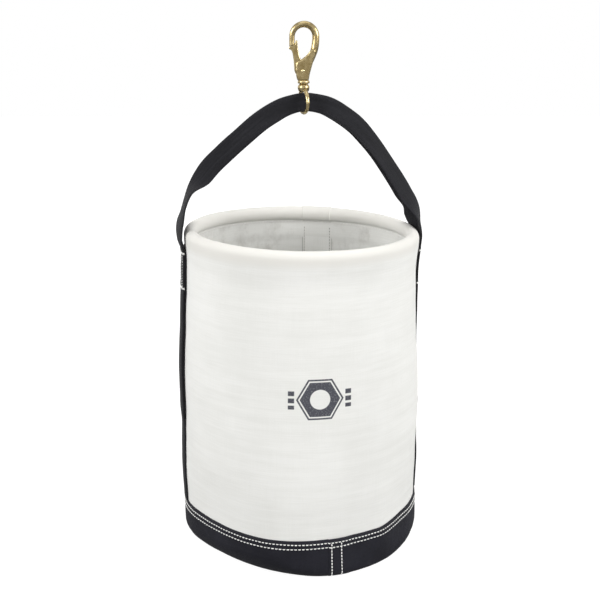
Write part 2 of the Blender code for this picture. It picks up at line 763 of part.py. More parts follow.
def main():
    clear_scene()
    canvas = make_material("canvas", (0.83, 0.83, 0.79), 0.9)
    plastic = make_material("hoop_plastic", (0.05, 0.05, 0.05), 0.5)
    board = make_material("fibre_board", (0.30, 0.22, 0.14), 0.8)
    leather = make_material("boot_leather", (0.026, 0.026, 0.032), 0.55)
    webbing = make_material("webbing", (0.017, 0.017, 0.019), 0.85)
    thread = make_material("thread", (0.80, 0.80, 0.80), 0.7)
    brass = make_material("brass", (0.55, 0.42, 0.20), 0.3, 1.0)
    steel = make_material("spring_steel", (0.5, 0.5, 0.5), 0.35, 1.0)
    make_canvas_wall(canvas)
    make_rim_hem(canvas)
    make_hoop(plastic)
    make_wall_seam(canvas, thread)
    make_hem_thread(thread)
    make_boot(leather, board, canvas, thread)
    make_side_straps(webbing, thread)
    ground, hinge = Vector((0, 0, 0)), Vector((0, 0, HINGE_Z))
    ring, collar = Vector((0, 0, EYE_CENTRE)), Vector((0, 0, COLLAR_Z))
    handle = pivot("handle_pivot", hinge, None, ground, [make_handle(webbing)])
    eye = pivot("eye_pivot", ring, handle, hinge, [make_eye(brass)], HANG_X)
    pieces = [make_hook_body(brass), *make_pin_and_spring(brass, steel)]
    hook = pivot("swivel_pivot", collar, eye, ring, pieces)
    pivot("gate_pivot", GATE_PIVOT, hook, collar, [make_gate(brass)])


main()
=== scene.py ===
"""Looks for the canvas tool bucket: duck canvas, webbing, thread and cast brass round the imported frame."""
import json
import math

import bmesh
import bpy
import numpy as np
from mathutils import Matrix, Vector, noise


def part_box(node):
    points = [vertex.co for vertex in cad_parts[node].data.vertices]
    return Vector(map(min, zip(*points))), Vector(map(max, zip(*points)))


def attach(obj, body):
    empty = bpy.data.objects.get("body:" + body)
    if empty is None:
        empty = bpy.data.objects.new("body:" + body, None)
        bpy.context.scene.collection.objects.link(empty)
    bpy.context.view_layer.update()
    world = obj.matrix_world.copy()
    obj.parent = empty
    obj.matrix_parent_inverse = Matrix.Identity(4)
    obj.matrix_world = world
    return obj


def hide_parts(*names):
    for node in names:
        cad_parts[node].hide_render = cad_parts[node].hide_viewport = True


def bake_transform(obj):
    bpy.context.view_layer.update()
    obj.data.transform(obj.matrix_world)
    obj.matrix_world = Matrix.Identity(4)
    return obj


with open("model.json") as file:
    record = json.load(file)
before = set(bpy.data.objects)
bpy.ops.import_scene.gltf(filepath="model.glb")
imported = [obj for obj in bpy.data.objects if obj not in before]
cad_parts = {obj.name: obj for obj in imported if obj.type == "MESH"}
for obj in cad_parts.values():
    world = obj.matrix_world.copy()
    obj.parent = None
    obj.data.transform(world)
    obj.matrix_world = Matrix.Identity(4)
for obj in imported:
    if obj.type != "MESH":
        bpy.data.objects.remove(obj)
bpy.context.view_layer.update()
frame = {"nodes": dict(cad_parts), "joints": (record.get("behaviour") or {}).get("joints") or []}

TAU = 2 * math.pi
MM = 0.001

# ---- places taken from the frame ----------------------------------------------------------------------
RIM_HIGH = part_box("rim_hem")[1]
RIM_TOP = RIM_HIGH.z
RIM_RADIUS = RIM_HIGH.x
BOOT_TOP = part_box("boot_band")[1].z
BOOT_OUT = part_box("boot_band")[1].x
SOLE_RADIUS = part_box("boot_bottom")[1].x
SOLE_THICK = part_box("boot_bottom")[1].z
FLOOR_LOW, FLOOR_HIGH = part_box("canvas_floor")
BOARD_LOW, BOARD_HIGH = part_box("bottom_board")
HOOP_LOW, HOOP_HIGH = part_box("top_hoop")
HOOP_WIRE = (HOOP_HIGH.z - HOOP_LOW.z) / 2
HOOP_Z = (HOOP_HIGH.z + HOOP_LOW.z) / 2
HOOP_CIRCLE = HOOP_HIGH.x - HOOP_WIRE
JOINTS = {joint["name"]: joint for joint in frame["joints"]}
HANG_X = JOINTS["eye_swing"]["pos_m"][0]
EYE_Z = JOINTS["eye_swing"]["pos_m"][2]
EYE_AXIS = Vector(JOINTS["eye_swing"]["axis"])
GATE_PIVOT = Vector(JOINTS["gate_open"]["pos_m"])

CANVAS = 0.0016
LEATHER = 0.0024
WEB = 0.0026
WEB_WIDTH = 0.0508
SEAM_ANGLE = math.radians(81)
SEAM_HALF = 0.0225
NOSE_SWEEP = 0.0334  # the gate's ledge meets the nose on a circle round the rivet, so that it can swing
ROLL_CENTRE = (RIM_RADIUS - 0.0082, RIM_TOP - 0.0096)
ROLL_HALF = (0.0084, 0.0096)
SKIRT_Z = 0.3725  # where the roll's outer leaf leaves the wall's face
SKIRT_ROWS = (SKIRT_Z, 0.3732, 0.376, 0.3795, 0.383, 0.387, 0.391, 0.395, 0.3985, 0.402, 0.4055, 0.409)
LEAF_END_Z = 0.3993
BOOT_SEAM_X = 0.0463
BOOT_SEAM_HALF = 0.0063
BOOT_TOP_RADIUS = 0.1599
# middle radii, at which lengths of arc are counted
WALL_MID, TAPE_MID, SEAM_ROW_MID, WEB_MID, BOOT_MID = 0.1555, 0.152, 0.1545, 0.157, 0.16


# ---- small tools --------------------------------------------------------------------------------------
def smooth(share):
    share = np.clip(share, 0.0, 1.0)
    return share * share * (3 - 2 * share)


def table(at, rows):
    places, values = zip(*rows)
    return np.interp(at, places, values)


def round_table(at, rows, span=5.0):
    """A table round the circle, in degrees, read with smooth corners."""
    at = (math.degrees(at) + 180) % 360 - 180
    return float(np.mean([table(at + lean, rows) for lean in (-span, -span / 2, 0, span / 2, span)]))


def spot_noise(x, y, z):
    return noise.noise(Vector((x, y, z)))


def round_angles(count):
    return np.linspace(-math.pi, math.pi, count, endpoint=False)


def curve_through(points, step):
    """Evenly spaced points, about step apart, on a Catmull-Rom curve through the given points."""
    points = np.array(points, float)
    ends = np.vstack([2 * points[0] - points[1], points, 2 * points[-1] - points[-2]])
    dense = []
    for i in range(len(points) - 1):
        a, b, c, d = ends[i : i + 4]
        for t in np.linspace(0, 1, 24, endpoint=False):
            square, cube = (2 * a - 5 * b + 4 * c - d) * t**2, (3 * b - a - 3 * c + d) * t**3
            dense.append(0.5 * (2 * b + (c - a) * t + square + cube))
    dense.append(points[-1])
    return even(dense, step)


def running(points):
    """Running length along a line of points."""
    return np.concatenate([[0], np.cumsum(np.linalg.norm(np.diff(points, axis=0), axis=1))])


def even(points, step):
    points = np.array(points, float)
    run = running(points)
    count = max(2, int(round(run[-1] / step)) + 1)
    spots = np.linspace(0, run[-1], count)
    return np.column_stack([np.interp(spots, run, points[:, k]) for k in range(points.shape[1])])


def into_scene(name, data):
    obj = bpy.data.objects.new(name, data)
    bpy.context.scene.collection.objects.link(obj)
    return obj


def make(name, verts, faces, uvs, material):
    """A mesh object of quads, facing out, with its UVs in metres of cloth."""
    faces, verts = np.asarray(faces), np.asarray(verts, float)
    a, b, c, d = (verts[faces[:, k]] for k in range(4))
    volume = np.einsum("ij,ij->", a, np.cross(b, c)) + np.einsum("ij,ij->", a, np.cross(c, d))
    if volume < 0:
        faces, uvs = faces[:, ::-1], uvs[:, ::-1]
    mesh = bpy.data.meshes.new(name)
    mesh.from_pydata(verts.tolist(), [], faces.tolist())
    layer = mesh.uv_layers.new(name="cloth")
    layer.data.foreach_set("uv", np.ascontiguousarray(uvs, dtype=np.float32).ravel())
    mesh.materials.append(material)
    mesh.shade_smooth()
    mesh.set_sharp_from_angle(angle=math.radians(38))
    return into_scene(name, mesh)


def skin(rings, uv, wrap):
    """Vertices, quads and UVs of a skin through rings of equally many points, its open ends laddered shut."""
    rings = np.asarray(rings, float)
    count, around = rings.shape[:2]
    i = np.arange(count if wrap else count - 1)[:, None]
    k = np.arange(around)[None, :]
    j, l = (i + 1) % count, (k + 1) % around
    faces = np.stack([i * around + k, i * around + l, j * around + l, j * around + k], -1).reshape(-1, 4)
    uv = np.asarray(uv, float)
    corners = np.stack([uv[i, k], uv[i, k + 1], uv[i + 1, k + 1], uv[i + 1, k]], 2).reshape(-1, 4, 2)
    if not wrap:
        m = np.arange(around // 2 - 1)
        ladder = np.stack([m, m + 1, around - 2 - m, around - 1 - m], -1)
        last = (count - 1) * around
        faces = np.vstack([faces, ladder[:, ::-1], ladder + last])
        corners = np.vstack([corners, uv[0][ladder[:, ::-1]], uv[-1][ladder]])
    return rings.reshape(-1, 3), faces, corners


def uv_grid(lengths, girths):
    lengths, girths = np.asarray(lengths, float), np.asarray(girths, float)
    return np.stack(np.broadcast_arrays(lengths[:, None], girths[None, :]), -1)


def girth(section):
    """Running length round a closed section."""
    section = np.asarray(section, float)
    return running(np.vstack([section, section[:1]]))


def sweep(name, rings, lengths, girths, material, wrap=False):
    return make(name, *skin(rings, uv_grid(lengths, girths), wrap), material)


def disc(name, rings, material):
    """A flat round piece with one outline per angle, its cloth laid straight across."""
    spots = np.array([[(x, y) for x, y, _ in ring] + [ring[0][:2]] for ring in rings])
    return make(name, *skin(rings, np.concatenate([spots, spots[:1]]), True), material)


def join_skins(name, parts, material):
    verts, faces, uvs, base = [], [], [], 0
    for v, f, u in parts:
        verts.append(v)
        faces.append(f + base)
        uvs.append(u)
        base += len(v)
    return make(name, np.vstack(verts), np.vstack(faces), np.vstack(uvs), material)


def put(piece, body, slot, *nodes):
    """The piece rides on a body and stands for the CAD nodes; its slot is not used."""
    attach(piece, body)
    if nodes:
        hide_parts(*nodes)
    return piece


# ---- materials ----------------------------------------------------------------------------------------
def srgb(red, green, blue):
    def linear(level):
        level /= 255
        return level / 12.92 if level <= 0.04045 else ((level + 0.055) / 1.055) ** 2.4

    return (linear(red), linear(green), linear(blue), 1.0)


def add_node(tree, kind, inputs=None, **settings):
    """A shader node with its settings, and its inputs given as values or linked to sockets."""
    node = tree.nodes.new("ShaderNode" + kind)
    for key, value in settings.items():
        setattr(node, key, value)
    for key, value in (inputs or {}).items():
        if isinstance(value, bpy.types.NodeSocket):
            tree.links.new(value, node.inputs[key])
        else:
            node.inputs[key].default_value = value
    return node


class Paint:
    """A Principled material with short ways to add its nodes."""

    def __init__(self, name, roughness=0.8, metallic=0.0, **sockets):
        self.material = bpy.data.materials.new(name)
        self.material.use_nodes = True
        self.tree = self.material.node_tree
        self.shader = self.tree.nodes["Principled BSDF"]
        self.shader.inputs["Roughness"].default_value = roughness
        self.shader.inputs["Metallic"].default_value = metallic
        for label, value in sockets.items():
            self.shader.inputs[label.replace("_", " ")].default_value = value

    def node(self, kind, inputs=None, **settings):
        return add_node(self.tree, kind, inputs, **settings)

    def math(self, operation, *values):
        return self.node("Math", dict(enumerate(values)), operation=operation).outputs[0]

    def times(self, first, second):
        return self.math("MULTIPLY", first, second)

    def rest(self, share):
        """What a share leaves of 1."""
        return self.math("SUBTRACT", 1.0, share)

    def uv(self):
        parts = self.node("SeparateXYZ", {0: self.node("UVMap", uv_map="cloth").outputs[0]})
        return parts.outputs[0], parts.outputs[1]

    def place(self):
        return self.node("TexCoord").outputs["Object"]

    def noise(self, vector, scale, detail=2.0, roughness=0.5, stretch=(1, 1, 1)):
        moved = self.node("Mapping", {"Vector": vector, "Scale": stretch}).outputs[0]
        look = {"Vector": moved, "Scale": scale, "Detail": detail, "Roughness": roughness}
        return self.node("TexNoise", look).outputs[0]

    def ramp(self, value, low, high, low_to=0.0, high_to=1.0):
        span = {"Value": value, "From Min": low, "From Max": high, "To Min": low_to, "To Max": high_to}
        return self.node("MapRange", span, interpolation_type="SMOOTHSTEP").outputs[0]

    def mix(self, share, first, second):
        return self.node("Mix", {0: share, 6: first, 7: second}, data_type="RGBA").outputs[2]

    def colour(self, socket):
        self.tree.links.new(socket, self.shader.inputs["Base Color"])

    def rough(self, socket):
        self.tree.links.new(socket, self.shader.inputs["Roughness"])

    def bump(self, height, distance, strength=1.0):
        node = self.node("Bump", {"Height": height, "Distance": distance, "Strength": strength})
        self.tree.links.new(node.outputs[0], self.shader.inputs["Normal"])

    def total(self, *weighted):
        """The sum of (socket, weight) pairs."""
        whole = None
        for socket, weight in weighted:
            part = self.times(socket, weight)
            whole = part if whole is None else self.math("ADD", whole, part)
        return whole


def plain_weave(paint, u, v, pitch):
    """Over-and-under threads: two crossed sets of ridges that take turns on top."""
    across = paint.times(u, math.pi / pitch)
    along = paint.times(v, math.pi / pitch)
    ridge_a = paint.math("ABSOLUTE", paint.math("SINE", across))
    ridge_b = paint.math("ABSOLUTE", paint.math("SINE", along))
    turn = paint.times(paint.math("COSINE", across), paint.math("COSINE", along))
    first = paint.times(ridge_a, paint.ramp(turn, -0.5, 0.5))
    second = paint.times(ridge_b, paint.ramp(turn, 0.5, -0.5))
    return paint.math("MAXIMUM", first, second)


MARK_U, MARK_V = -math.pi / 2 * WALL_MID + 0.0235, 0.2405  # the printed mark's middle on the wall's cloth
# the mark's hexagon, its hole and the line inside its edge, then the bars on both sides of it
NUT_HALF, NUT_HOLE, GROOVE = 0.0256, 0.0125, 0.0226
BAR_PITCH, BAR_HALF, BAR_START, BAR_END, BAR_REACH = 0.0045, 0.003, 0.0318, 0.0395, 0.012
INK_EDGE = 0.00035


def mark_mask(paint, u, v):
    """A plain printed mark: a solid hexagon with a round hole, between plain bars."""
    x = paint.math("SUBTRACT", u, MARK_U)
    y = paint.math("SUBTRACT", v, MARK_V)
    ax, ay = paint.math("ABSOLUTE", x), paint.math("ABSOLUTE", y)
    slant = paint.total((ax, math.cos(math.pi / 6)), (ay, 0.5))
    hexagon = paint.math("MAXIMUM", slant, ay)
    ring = paint.math("SQRT", paint.total((paint.times(x, x), 1), (paint.times(y, y), 1)))
    edge = INK_EDGE
    solid = paint.ramp(hexagon, NUT_HALF + edge, NUT_HALF - edge)
    hole = paint.ramp(ring, NUT_HOLE - edge, NUT_HOLE + edge)
    groove = paint.math("ABSOLUTE", paint.math("SUBTRACT", hexagon, GROOVE))
    groove = paint.ramp(groove, 0.0005, 0.0005 + 2 * edge)
    nut = paint.times(paint.times(solid, hole), groove)
    rows = paint.math("PINGPONG", paint.math("ADD", y, 1.0), BAR_PITCH)
    bars = paint.ramp(rows, BAR_HALF + edge, BAR_HALF - edge)
    begin = paint.ramp(ax, BAR_START - edge, BAR_START + edge)
    wide = paint.times(begin, paint.ramp(ax, BAR_END + edge, BAR_END - edge))
    tall = paint.ramp(ay, BAR_REACH + edge, BAR_REACH - edge)
    bars = paint.times(paint.times(bars, wide), tall)
    return paint.math("MAXIMUM", nut, bars)


def canvas_paint(name, mark=False, soiled=False, shaded_rim=False, strip=0.0):
    """Natural duck canvas: a plain weave with slubs, flecks and a soft mottle."""
    paint = Paint(name, roughness=0.9, Sheen_Weight=0.1, Sheen_Roughness=0.5, Specular_IOR_Level=0.15)
    u, v = paint.uv()
    flat = paint.node("CombineXYZ", {0: u, 1: v}).outputs[0]
    weave = plain_weave(paint, u, v, 0.00105)
    slub_across = paint.noise(flat, 1.0, 2.0, 0.6, (26, 760, 1))
    slub_up = paint.noise(flat, 1.0, 2.0, 0.6, (760, 22, 1))
    wide_band = paint.noise(flat, 1.0, 2.0, 0.5, (7, 120, 1))
    mottle = paint.noise(paint.place(), 11, 3.0, 0.55)
    tone = paint.total((slub_across, 0.26), (slub_up, 0.12), (wide_band, 0.24), (mottle, 0.38))
    base = paint.mix(paint.ramp(tone, 0.34, 0.66), srgb(231, 231, 227), srgb(241, 241, 238))
    gaps = paint.ramp(weave, 0.25, 0.75)
    base = paint.mix(paint.times(paint.rest(gaps), 0.13), base, srgb(200, 198, 188))
    fleck = paint.noise(flat, 1.0, 1.0, 0.4, (420, 900, 1))
    base = paint.mix(paint.ramp(fleck, 0.745, 0.81, 0.0, 0.25), base, srgb(186, 176, 152))
    if soiled:
        blots = paint.noise(paint.place(), 15, 5.0, 0.68, (1, 1, 0.8))
        base = paint.mix(paint.ramp(blots, 0.47, 0.66, 0.0, 0.55), base, srgb(188, 185, 179))
    if shaded_rim:  # painted shade: the rim is greyer towards its top
        height = paint.node("SeparateXYZ", {0: paint.place()}).outputs[2]
        base = paint.mix(paint.ramp(height, 0.397, 0.411, 0.0, 0.9), base, srgb(225, 223, 217))
    if strip:  # painted shadow along both edges of a sewn strip, whose girth is twice this width
        off = paint.math("PINGPONG", v, strip)
        off = paint.math("MINIMUM", off, paint.math("SUBTRACT", strip, off))
        base = paint.mix(paint.ramp(off, 0.0003, 0.0022, 0.6, 0.0), base, srgb(140, 137, 132))
    if mark:
        ink = mark_mask(paint, u, v)
        worn = paint.ramp(paint.noise(flat, 1.0, 3.0, 0.6, (500, 500, 1)), 0.28, 0.5, 0.8, 0.97)
        base = paint.mix(paint.times(ink, worn), base, srgb(66, 67, 77))
    paint.colour(base)
    paint.rough(paint.ramp(mottle, 0.3, 0.7, 0.84, 0.96))
    height = paint.total((weave, 0.7), (slub_across, 0.6), (slub_up, 0.35))
    paint.bump(height, 0.0002, 0.7)
    return paint.material


def web_paint():
    """Tightly woven black webbing: fine chevrons across, faint paler streaks along, fuzzy with use."""
    sheen = {"Sheen_Weight": 0.1, "Sheen_Roughness": 0.45}
    paint = Paint("black_web", roughness=0.66, Specular_IOR_Level=0.15, **sheen)
    along, across = paint.uv()
    flat = paint.node("CombineXYZ", {0: along, 1: across}).outputs[0]
    zig = paint.math("PINGPONG", paint.math("ADD", across, 1.0), 0.0042)
    slant = paint.math("ADD", paint.times(along, TAU / 0.0021), paint.times(zig, TAU / 0.0017))
    twill = paint.ramp(paint.math("SINE", slant), -0.9, 0.9)
    ribs = paint.math("ABSOLUTE", paint.math("SINE", paint.times(across, math.pi / 0.0014)))
    streak = paint.noise(flat, 1.0, 3.0, 0.6, (9, 620, 1))
    fuzz = paint.noise(flat, 1.0, 3.0, 0.7, (520, 900, 1))
    patch = paint.noise(flat, 1.0, 2.0, 0.5, (16, 60, 1))
    tone = paint.total((streak, 0.5), (fuzz, 0.2), (patch, 0.3))
    base = paint.mix(paint.ramp(tone, 0.38, 0.66), srgb(17, 17, 20), srgb(33, 33, 37))
    base = paint.mix(paint.times(twill, 0.35), base, srgb(43, 43, 48))
    paint.colour(base)
    paint.rough(paint.ramp(fuzz, 0.3, 0.7, 0.58, 0.8))
    paint.bump(paint.total((twill, 0.6), (ribs, 0.5), (fuzz, 0.4)), 0.00028, 0.8)
    return paint.material


def boot_paint():
    """Black grained leather-cloth, scuffed paler where the corner meets the ground."""
    paint = Paint("black_boot", roughness=0.52, Specular_IOR_Level=0.2, Sheen_Weight=0.03)
    place = paint.place()
    cells = paint.node("TexVoronoi", {"Vector": place, "Scale": 780.0}, feature="DISTANCE_TO_EDGE").outputs[0]
    pebble = paint.ramp(cells, 0.0, 0.42)
    creases = paint.noise(place, 260, 4.0, 0.65)
    broad = paint.noise(place, 16, 3.0, 0.55)
    base = paint.mix(paint.ramp(broad, 0.35, 0.68), srgb(26, 26, 34), srgb(36, 36, 45))
    height = paint.node("SeparateXYZ", {0: place}).outputs[2]
    low = paint.ramp(height, 0.022, 0.0)
    scuff = paint.ramp(paint.noise(place, 95, 5.0, 0.7, (1, 1, 0.35)), 0.54, 0.72)
    base = paint.mix(paint.times(paint.times(low, scuff), 0.45), base, srgb(80, 80, 84))
    base = paint.mix(paint.times(paint.rest(pebble), 0.35), base, srgb(15, 15, 18))
    paint.colour(base)
    paint.rough(paint.ramp(paint.total((creases, 0.5), (broad, 0.5)), 0.35, 0.65, 0.44, 0.66))
    paint.bump(paint.total((pebble, 0.8), (creases, 0.7)), 0.00016, 0.7)
    return paint.material


def thread_paint():
    """White polyester cord, twisted, greyed a little in its grooves."""
    paint = Paint("white_thread", roughness=0.6, Sheen_Weight=0.2, Specular_IOR_Level=0.35)
    along, round_it = paint.uv()
    turn = paint.math("ADD", paint.times(along, TAU / 0.0009), paint.times(round_it, 2200))
    twist = paint.math("SINE", turn)
    groove = paint.ramp(twist, -1.0, 0.2)
    grime = paint.noise(paint.place(), 140, 3.0, 0.6)
    base = paint.mix(paint.ramp(grime, 0.35, 0.65), srgb(240, 240, 236), srgb(254, 254, 252))
    base = paint.mix(paint.times(paint.rest(groove), 0.35), base, srgb(186, 185, 180))
    paint.colour(base)
    paint.bump(groove, 0.00012, 0.8)
    return paint.material


def brass_paint():
    """Tumbled solid brass: bright where it is rubbed, brown and rougher in its hollows."""
    paint = Paint("cast_brass", roughness=0.3, metallic=1.0)
    place = paint.place()
    rubbed = paint.ramp(paint.node("NewGeometry").outputs["Pointiness"], 0.46, 0.56)
    cloud = paint.noise(place, 170, 4.0, 0.6)
    pits = paint.noise(place, 1500, 2.0, 0.6)
    tone = paint.total((rubbed, 0.55), (cloud, 0.45))
    base = paint.mix(paint.ramp(tone, 0.3, 0.75), srgb(152, 132, 88), srgb(236, 218, 170))
    speck = paint.ramp(paint.noise(place, 620, 3.0, 0.65), 0.68, 0.82, 0.0, 0.2)
    base = paint.mix(speck, base, srgb(98, 78, 46))
    paint.colour(base)
    paint.rough(paint.ramp(paint.total((rubbed, -0.5), (cloud, 0.7), (pits, 0.3)), -0.1, 0.7, 0.19, 0.34))
    paint.bump(paint.total((cloud, 1.0), (pits, 0.25)), 0.00007, 0.3)
    return paint.material


def fleck_paint(name, light, dark, roughness, scale, metallic=0.0, bump=0.0001):
    """A moulded, pressed or drawn finish: two tones and a fine grain."""
    paint = Paint(name, roughness=roughness, metallic=metallic)
    place = paint.place()
    cloud = paint.noise(place, scale, 4.0, 0.6)
    grain = paint.noise(place, scale * 9, 2.0, 0.6)
    paint.colour(paint.mix(paint.ramp(cloud, 0.35, 0.65), srgb(*dark), srgb(*light)))
    paint.rough(paint.ramp(grain, 0.3, 0.7, roughness - 0.08, roughness + 0.08))
    paint.bump(grain, bump, 0.6)
    return paint.material


WALL_CANVAS = canvas_paint("wall_canvas_cloth", mark=True)
# the rim's cloth, with painted shade towards its top
CANVAS_CLOTH = canvas_paint("hem_canvas_cloth", shaded_rim=True)
INNER_CANVAS = canvas_paint("inner_canvas_cloth", soiled=True)
WEBBING = web_paint()
BOOT = boot_paint()
THREAD = thread_paint()
BRASS = brass_paint()
# a darker grey thread for the seam rows inside the bucket
GREY_THREAD = fleck_paint("soiled_thread", (182, 180, 175), (150, 148, 143), 0.8, 300, bump=0.00004)
PIPE = fleck_paint("hoop_plastic", (225, 223, 214), (206, 203, 192), 0.45, 60)
BOARD = fleck_paint("pressed_board", (122, 92, 62), (92, 68, 45), 0.85, 240, bump=0.0003)
STEEL = fleck_paint("spring_steel", (178, 180, 184), (128, 130, 134), 0.3, 900, metallic=1.0, bump=0.00003)


# ---- the shape of the soft body -----------------------------------------------------------------------
def outer_profile(node):
    """Height and outside radius of a turned CAD node, from its mesh."""
    rows = {}
    for vertex in frame["nodes"][node].data.vertices:
        height = round(vertex.co.z, 5)
        rows[height] = max(rows.get(height, 0.0), math.hypot(vertex.co.x, vertex.co.y))
    return sorted(rows.items())


WALL_ROWS = outer_profile("canvas_wall")
PROFILE_Z = np.linspace(0.0, RIM_TOP, 240)
_RAW = table(np.clip(PROFILE_Z, 0.03, None), WALL_ROWS)
_KERNEL = np.hanning(25) / np.hanning(25).sum()
PROFILE_R = np.convolve(np.pad(_RAW, 12, mode="edge"), _KERNEL, mode="valid")

# radius of the boot's lower edge round the circle: soft at the front left, tighter at the right
CORNER_ROWS = [
    (-180, 14), (-168, 20), (-153, 25), (-141, 28), (-126, 30), (-112, 29), (-100, 25), (-90, 17), (-81, 10),
    (-71, 8), (-54, 8), (-41, 8), (-30, 11), (-15, 14), (0, 14), (40, 13), (90, 15), (130, 12), (180, 14),
]
# how far the soft side is pushed in or out where the boot ends, in millimetres
SIDE_ROWS = [
    (-180, 0.6), (-164, 0.8), (-156, -1.2), (-148, -4.6), (-135, -6.6), (-120, -4.0), (-108, -1.4),
    (-99, -0.2), (-90, -0.9), (-80, -2.0), (-66, -3.2), (-56, -1.8), (-49, 0.4), (-40, -2.8), (-31, -4.6),
    (-19, -2.2), (-8, 0), (20, 0.4), (60, -1.2), (95, 0.4), (130, -1.5), (155, 0), (180, 0.6),
]


def side_push(theta, z):
    """The soft body's dents near the boot's top edge, fading out below and above."""
    fade = smooth(z / 0.04) * (1 - smooth((z - 0.05) / 0.11))
    return round_table(theta, SIDE_ROWS, 2.0) * MM * float(fade)


# how the webbing draws the wall in or lets it stand out: a height table and a table round the circle for each
LEFT_SWELL = [
    (0.055, 0), (0.08, 1.1), (0.1, 1.7), (0.12, 2.2), (0.14, 2.5), (0.16, 2.5), (0.175, 2.3), (0.19, 2.5),
    (0.22, 3.7), (0.25, 4.1), (0.27, 3.5), (0.3, 2.7), (0.32, 2.9), (0.34, 2.1), (0.36, 1.9), (0.385, 2.2),
    (0.4, 1.2),
]
LEFT_ROUND = [
    (-180, 1), (-163, 1), (-150, 0.6), (-135, 0.2), (-120, 0), (140, 0), (160, 0.5), (172, 0.9), (180, 1),
]
RIGHT_PULL = [
    (0.05, 0), (0.075, 0.9), (0.11, 0.9), (0.13, 0), (0.17, -0.3), (0.2, -2.2), (0.25, -3.4), (0.27, -3.8),
    (0.3, -2.6), (0.34, -1.4), (0.365, -0.5), (0.38, 0),
]
PULL_ROUND = [(-5, 0), (-2.4, 0.6), (-1, 1), (17.5, 1), (21, 0.6), (32, 0)]
RIGHT_SWELL = [
    (0.1, 0), (0.14, 0.9), (0.165, 2.4), (0.19, 3.2), (0.22, 2.9), (0.245, 2.5), (0.27, 0.9), (0.295, 0),
]
SWELL_ROUND = [(-60, 0), (-35, 0.5), (-18, 0.9), (-8, 1), (-4.5, 0.8), (-2, 0.2), (-0.5, 0)]


def strap_push(theta, z):
    """How far the sewn webbing lets the wall stand out, or draws it in, beside and under itself."""
    spread = (-0.012, -0.006, 0.0, 0.006, 0.012)
    total = 0.0
    for up, around in ((LEFT_SWELL, LEFT_ROUND), (RIGHT_PULL, PULL_ROUND), (RIGHT_SWELL, SWELL_ROUND)):
        share = round_table(theta, around, 1.2)
        if share:
            total += share * float(np.mean([table(z + lean, up) for lean in spread]))
    return total * MM


def dents(theta, z):
    c, s = math.cos(theta), math.sin(theta)
    low = spot_noise(1.7 * c + 5, 1.7 * s, 6.5 * z)
    wide = spot_noise(2.3 * c, 2.3 * s + 9, 62 * z)
    fine = spot_noise(7 * c, 7 * s + 2, 34 * z + 4)
    fade = float(smooth((z - 0.02) / 0.06) * (1 - smooth((z - 0.36) / 0.03)))
    return (1.2 * low + 0.22 * wide + 0.14 * fine) * MM * fade


def lap_share(theta):
    """1 on the wall's lapped seam and 0 beside it, with a crisp edge on each side."""
    off = abs(theta - SEAM_ANGLE) * WALL_MID
    return float(1 - smooth((off - SEAM_HALF + 0.0005) / 0.001))


def lap_lift(theta):
    """How far the lapped seam stands proud of the wall."""
    return 0.0011 * lap_share(theta)


def boot_corner(theta):
    return round_table(theta, CORNER_ROWS) * MM


def boot_side(theta, z):
    """Outside radius of the boot's standing side."""
    side = BOOT_OUT + (BOOT_TOP_RADIUS - BOOT_OUT) * z / BOOT_TOP + side_push(theta, z)
    return side + 0.0008 * math.sin(math.pi * min(1.0, z / BOOT_TOP)) - 0.0006


def boot_out(theta, z):
    """Outside radius of the boot's skin at a height, without its fine puckers."""
    corner = boot_corner(theta)
    if z >= corner:
        return boot_side(theta, z)
    return boot_side(theta, corner) - corner + math.sqrt(max(0.0, corner**2 - (corner - z) ** 2))


def boot_in(theta, z):
    """Inside radius of the boot's skin at a height: the room for the canvas and the board."""
    corner = boot_corner(theta)
    if z >= corner:
        return boot_side(theta, z) - LEATHER
    inner = corner - LEATHER
    return boot_side(theta, corner) - corner + math.sqrt(max(0.0, inner**2 - (corner - z) ** 2))


def wall_out(theta, z):
    """Outside radius of the canvas."""
    radius = float(np.interp(z, PROFILE_Z, PROFILE_R)) + side_push(theta, z)
    radius = radius + dents(theta, z) + lap_lift(theta) + strap_push(theta, z)
    if z < 0.05:
        radius = min(radius, boot_in(theta, z) - 0.0004)
    return radius


def skirt_out(theta, z, swell=0.0):
    """Outside radius of the canvas where it swells from the wall to the roll over the hoop."""
    share = float(smooth((z - SKIRT_Z) / (ROLL_CENTRE[1] - SKIRT_Z)))
    return wall_out(theta, z) * (1 - share) + (ROLL_CENTRE[0] + ROLL_HALF[0] + swell) * share + 0.00004


def leaf_face(theta):
    """Inner face of the canvas under the rim, where the roll's inner leaf ends."""
    return wall_out(theta, 0.396) - 3 * CANVAS - 0.0003


def tape_back(theta, z):
    """Inner face of the wall at its seam, which the strip lies on."""
    return wall_out(theta, z) - lap_lift(theta) - CANVAS - 0.0001


def settle(points):
    """The whole bucket's slight lean: to the right with height, and lower at the rim's right."""
    points = np.array(points, float)
    z = points[..., 2]
    points[..., 0] += 0.002 * np.clip(z / 0.42, 0, 1)
    points[..., 2] -= 0.018 * points[..., 0] * smooth((z - 0.25) / 0.17)
    return points


def polar(theta, radius, z):
    return (radius * math.cos(theta), radius * math.sin(theta), z)


def ring_angles(count=300):
    """Angles round the circle, closer together at the wall's lapped seam."""
    angles = list(round_angles(count))
    for side in (-1, 1):
        for off in (-0.0012, -0.0005, 0.0, 0.0005, 0.0012):
            angles.append(SEAM_ANGLE + side * (SEAM_HALF + off) / WALL_MID)
    return sorted(angles)


ANGLES = ring_angles()
ARC_LENGTHS = np.append(np.array(ANGLES) * WALL_MID, math.pi * WALL_MID)


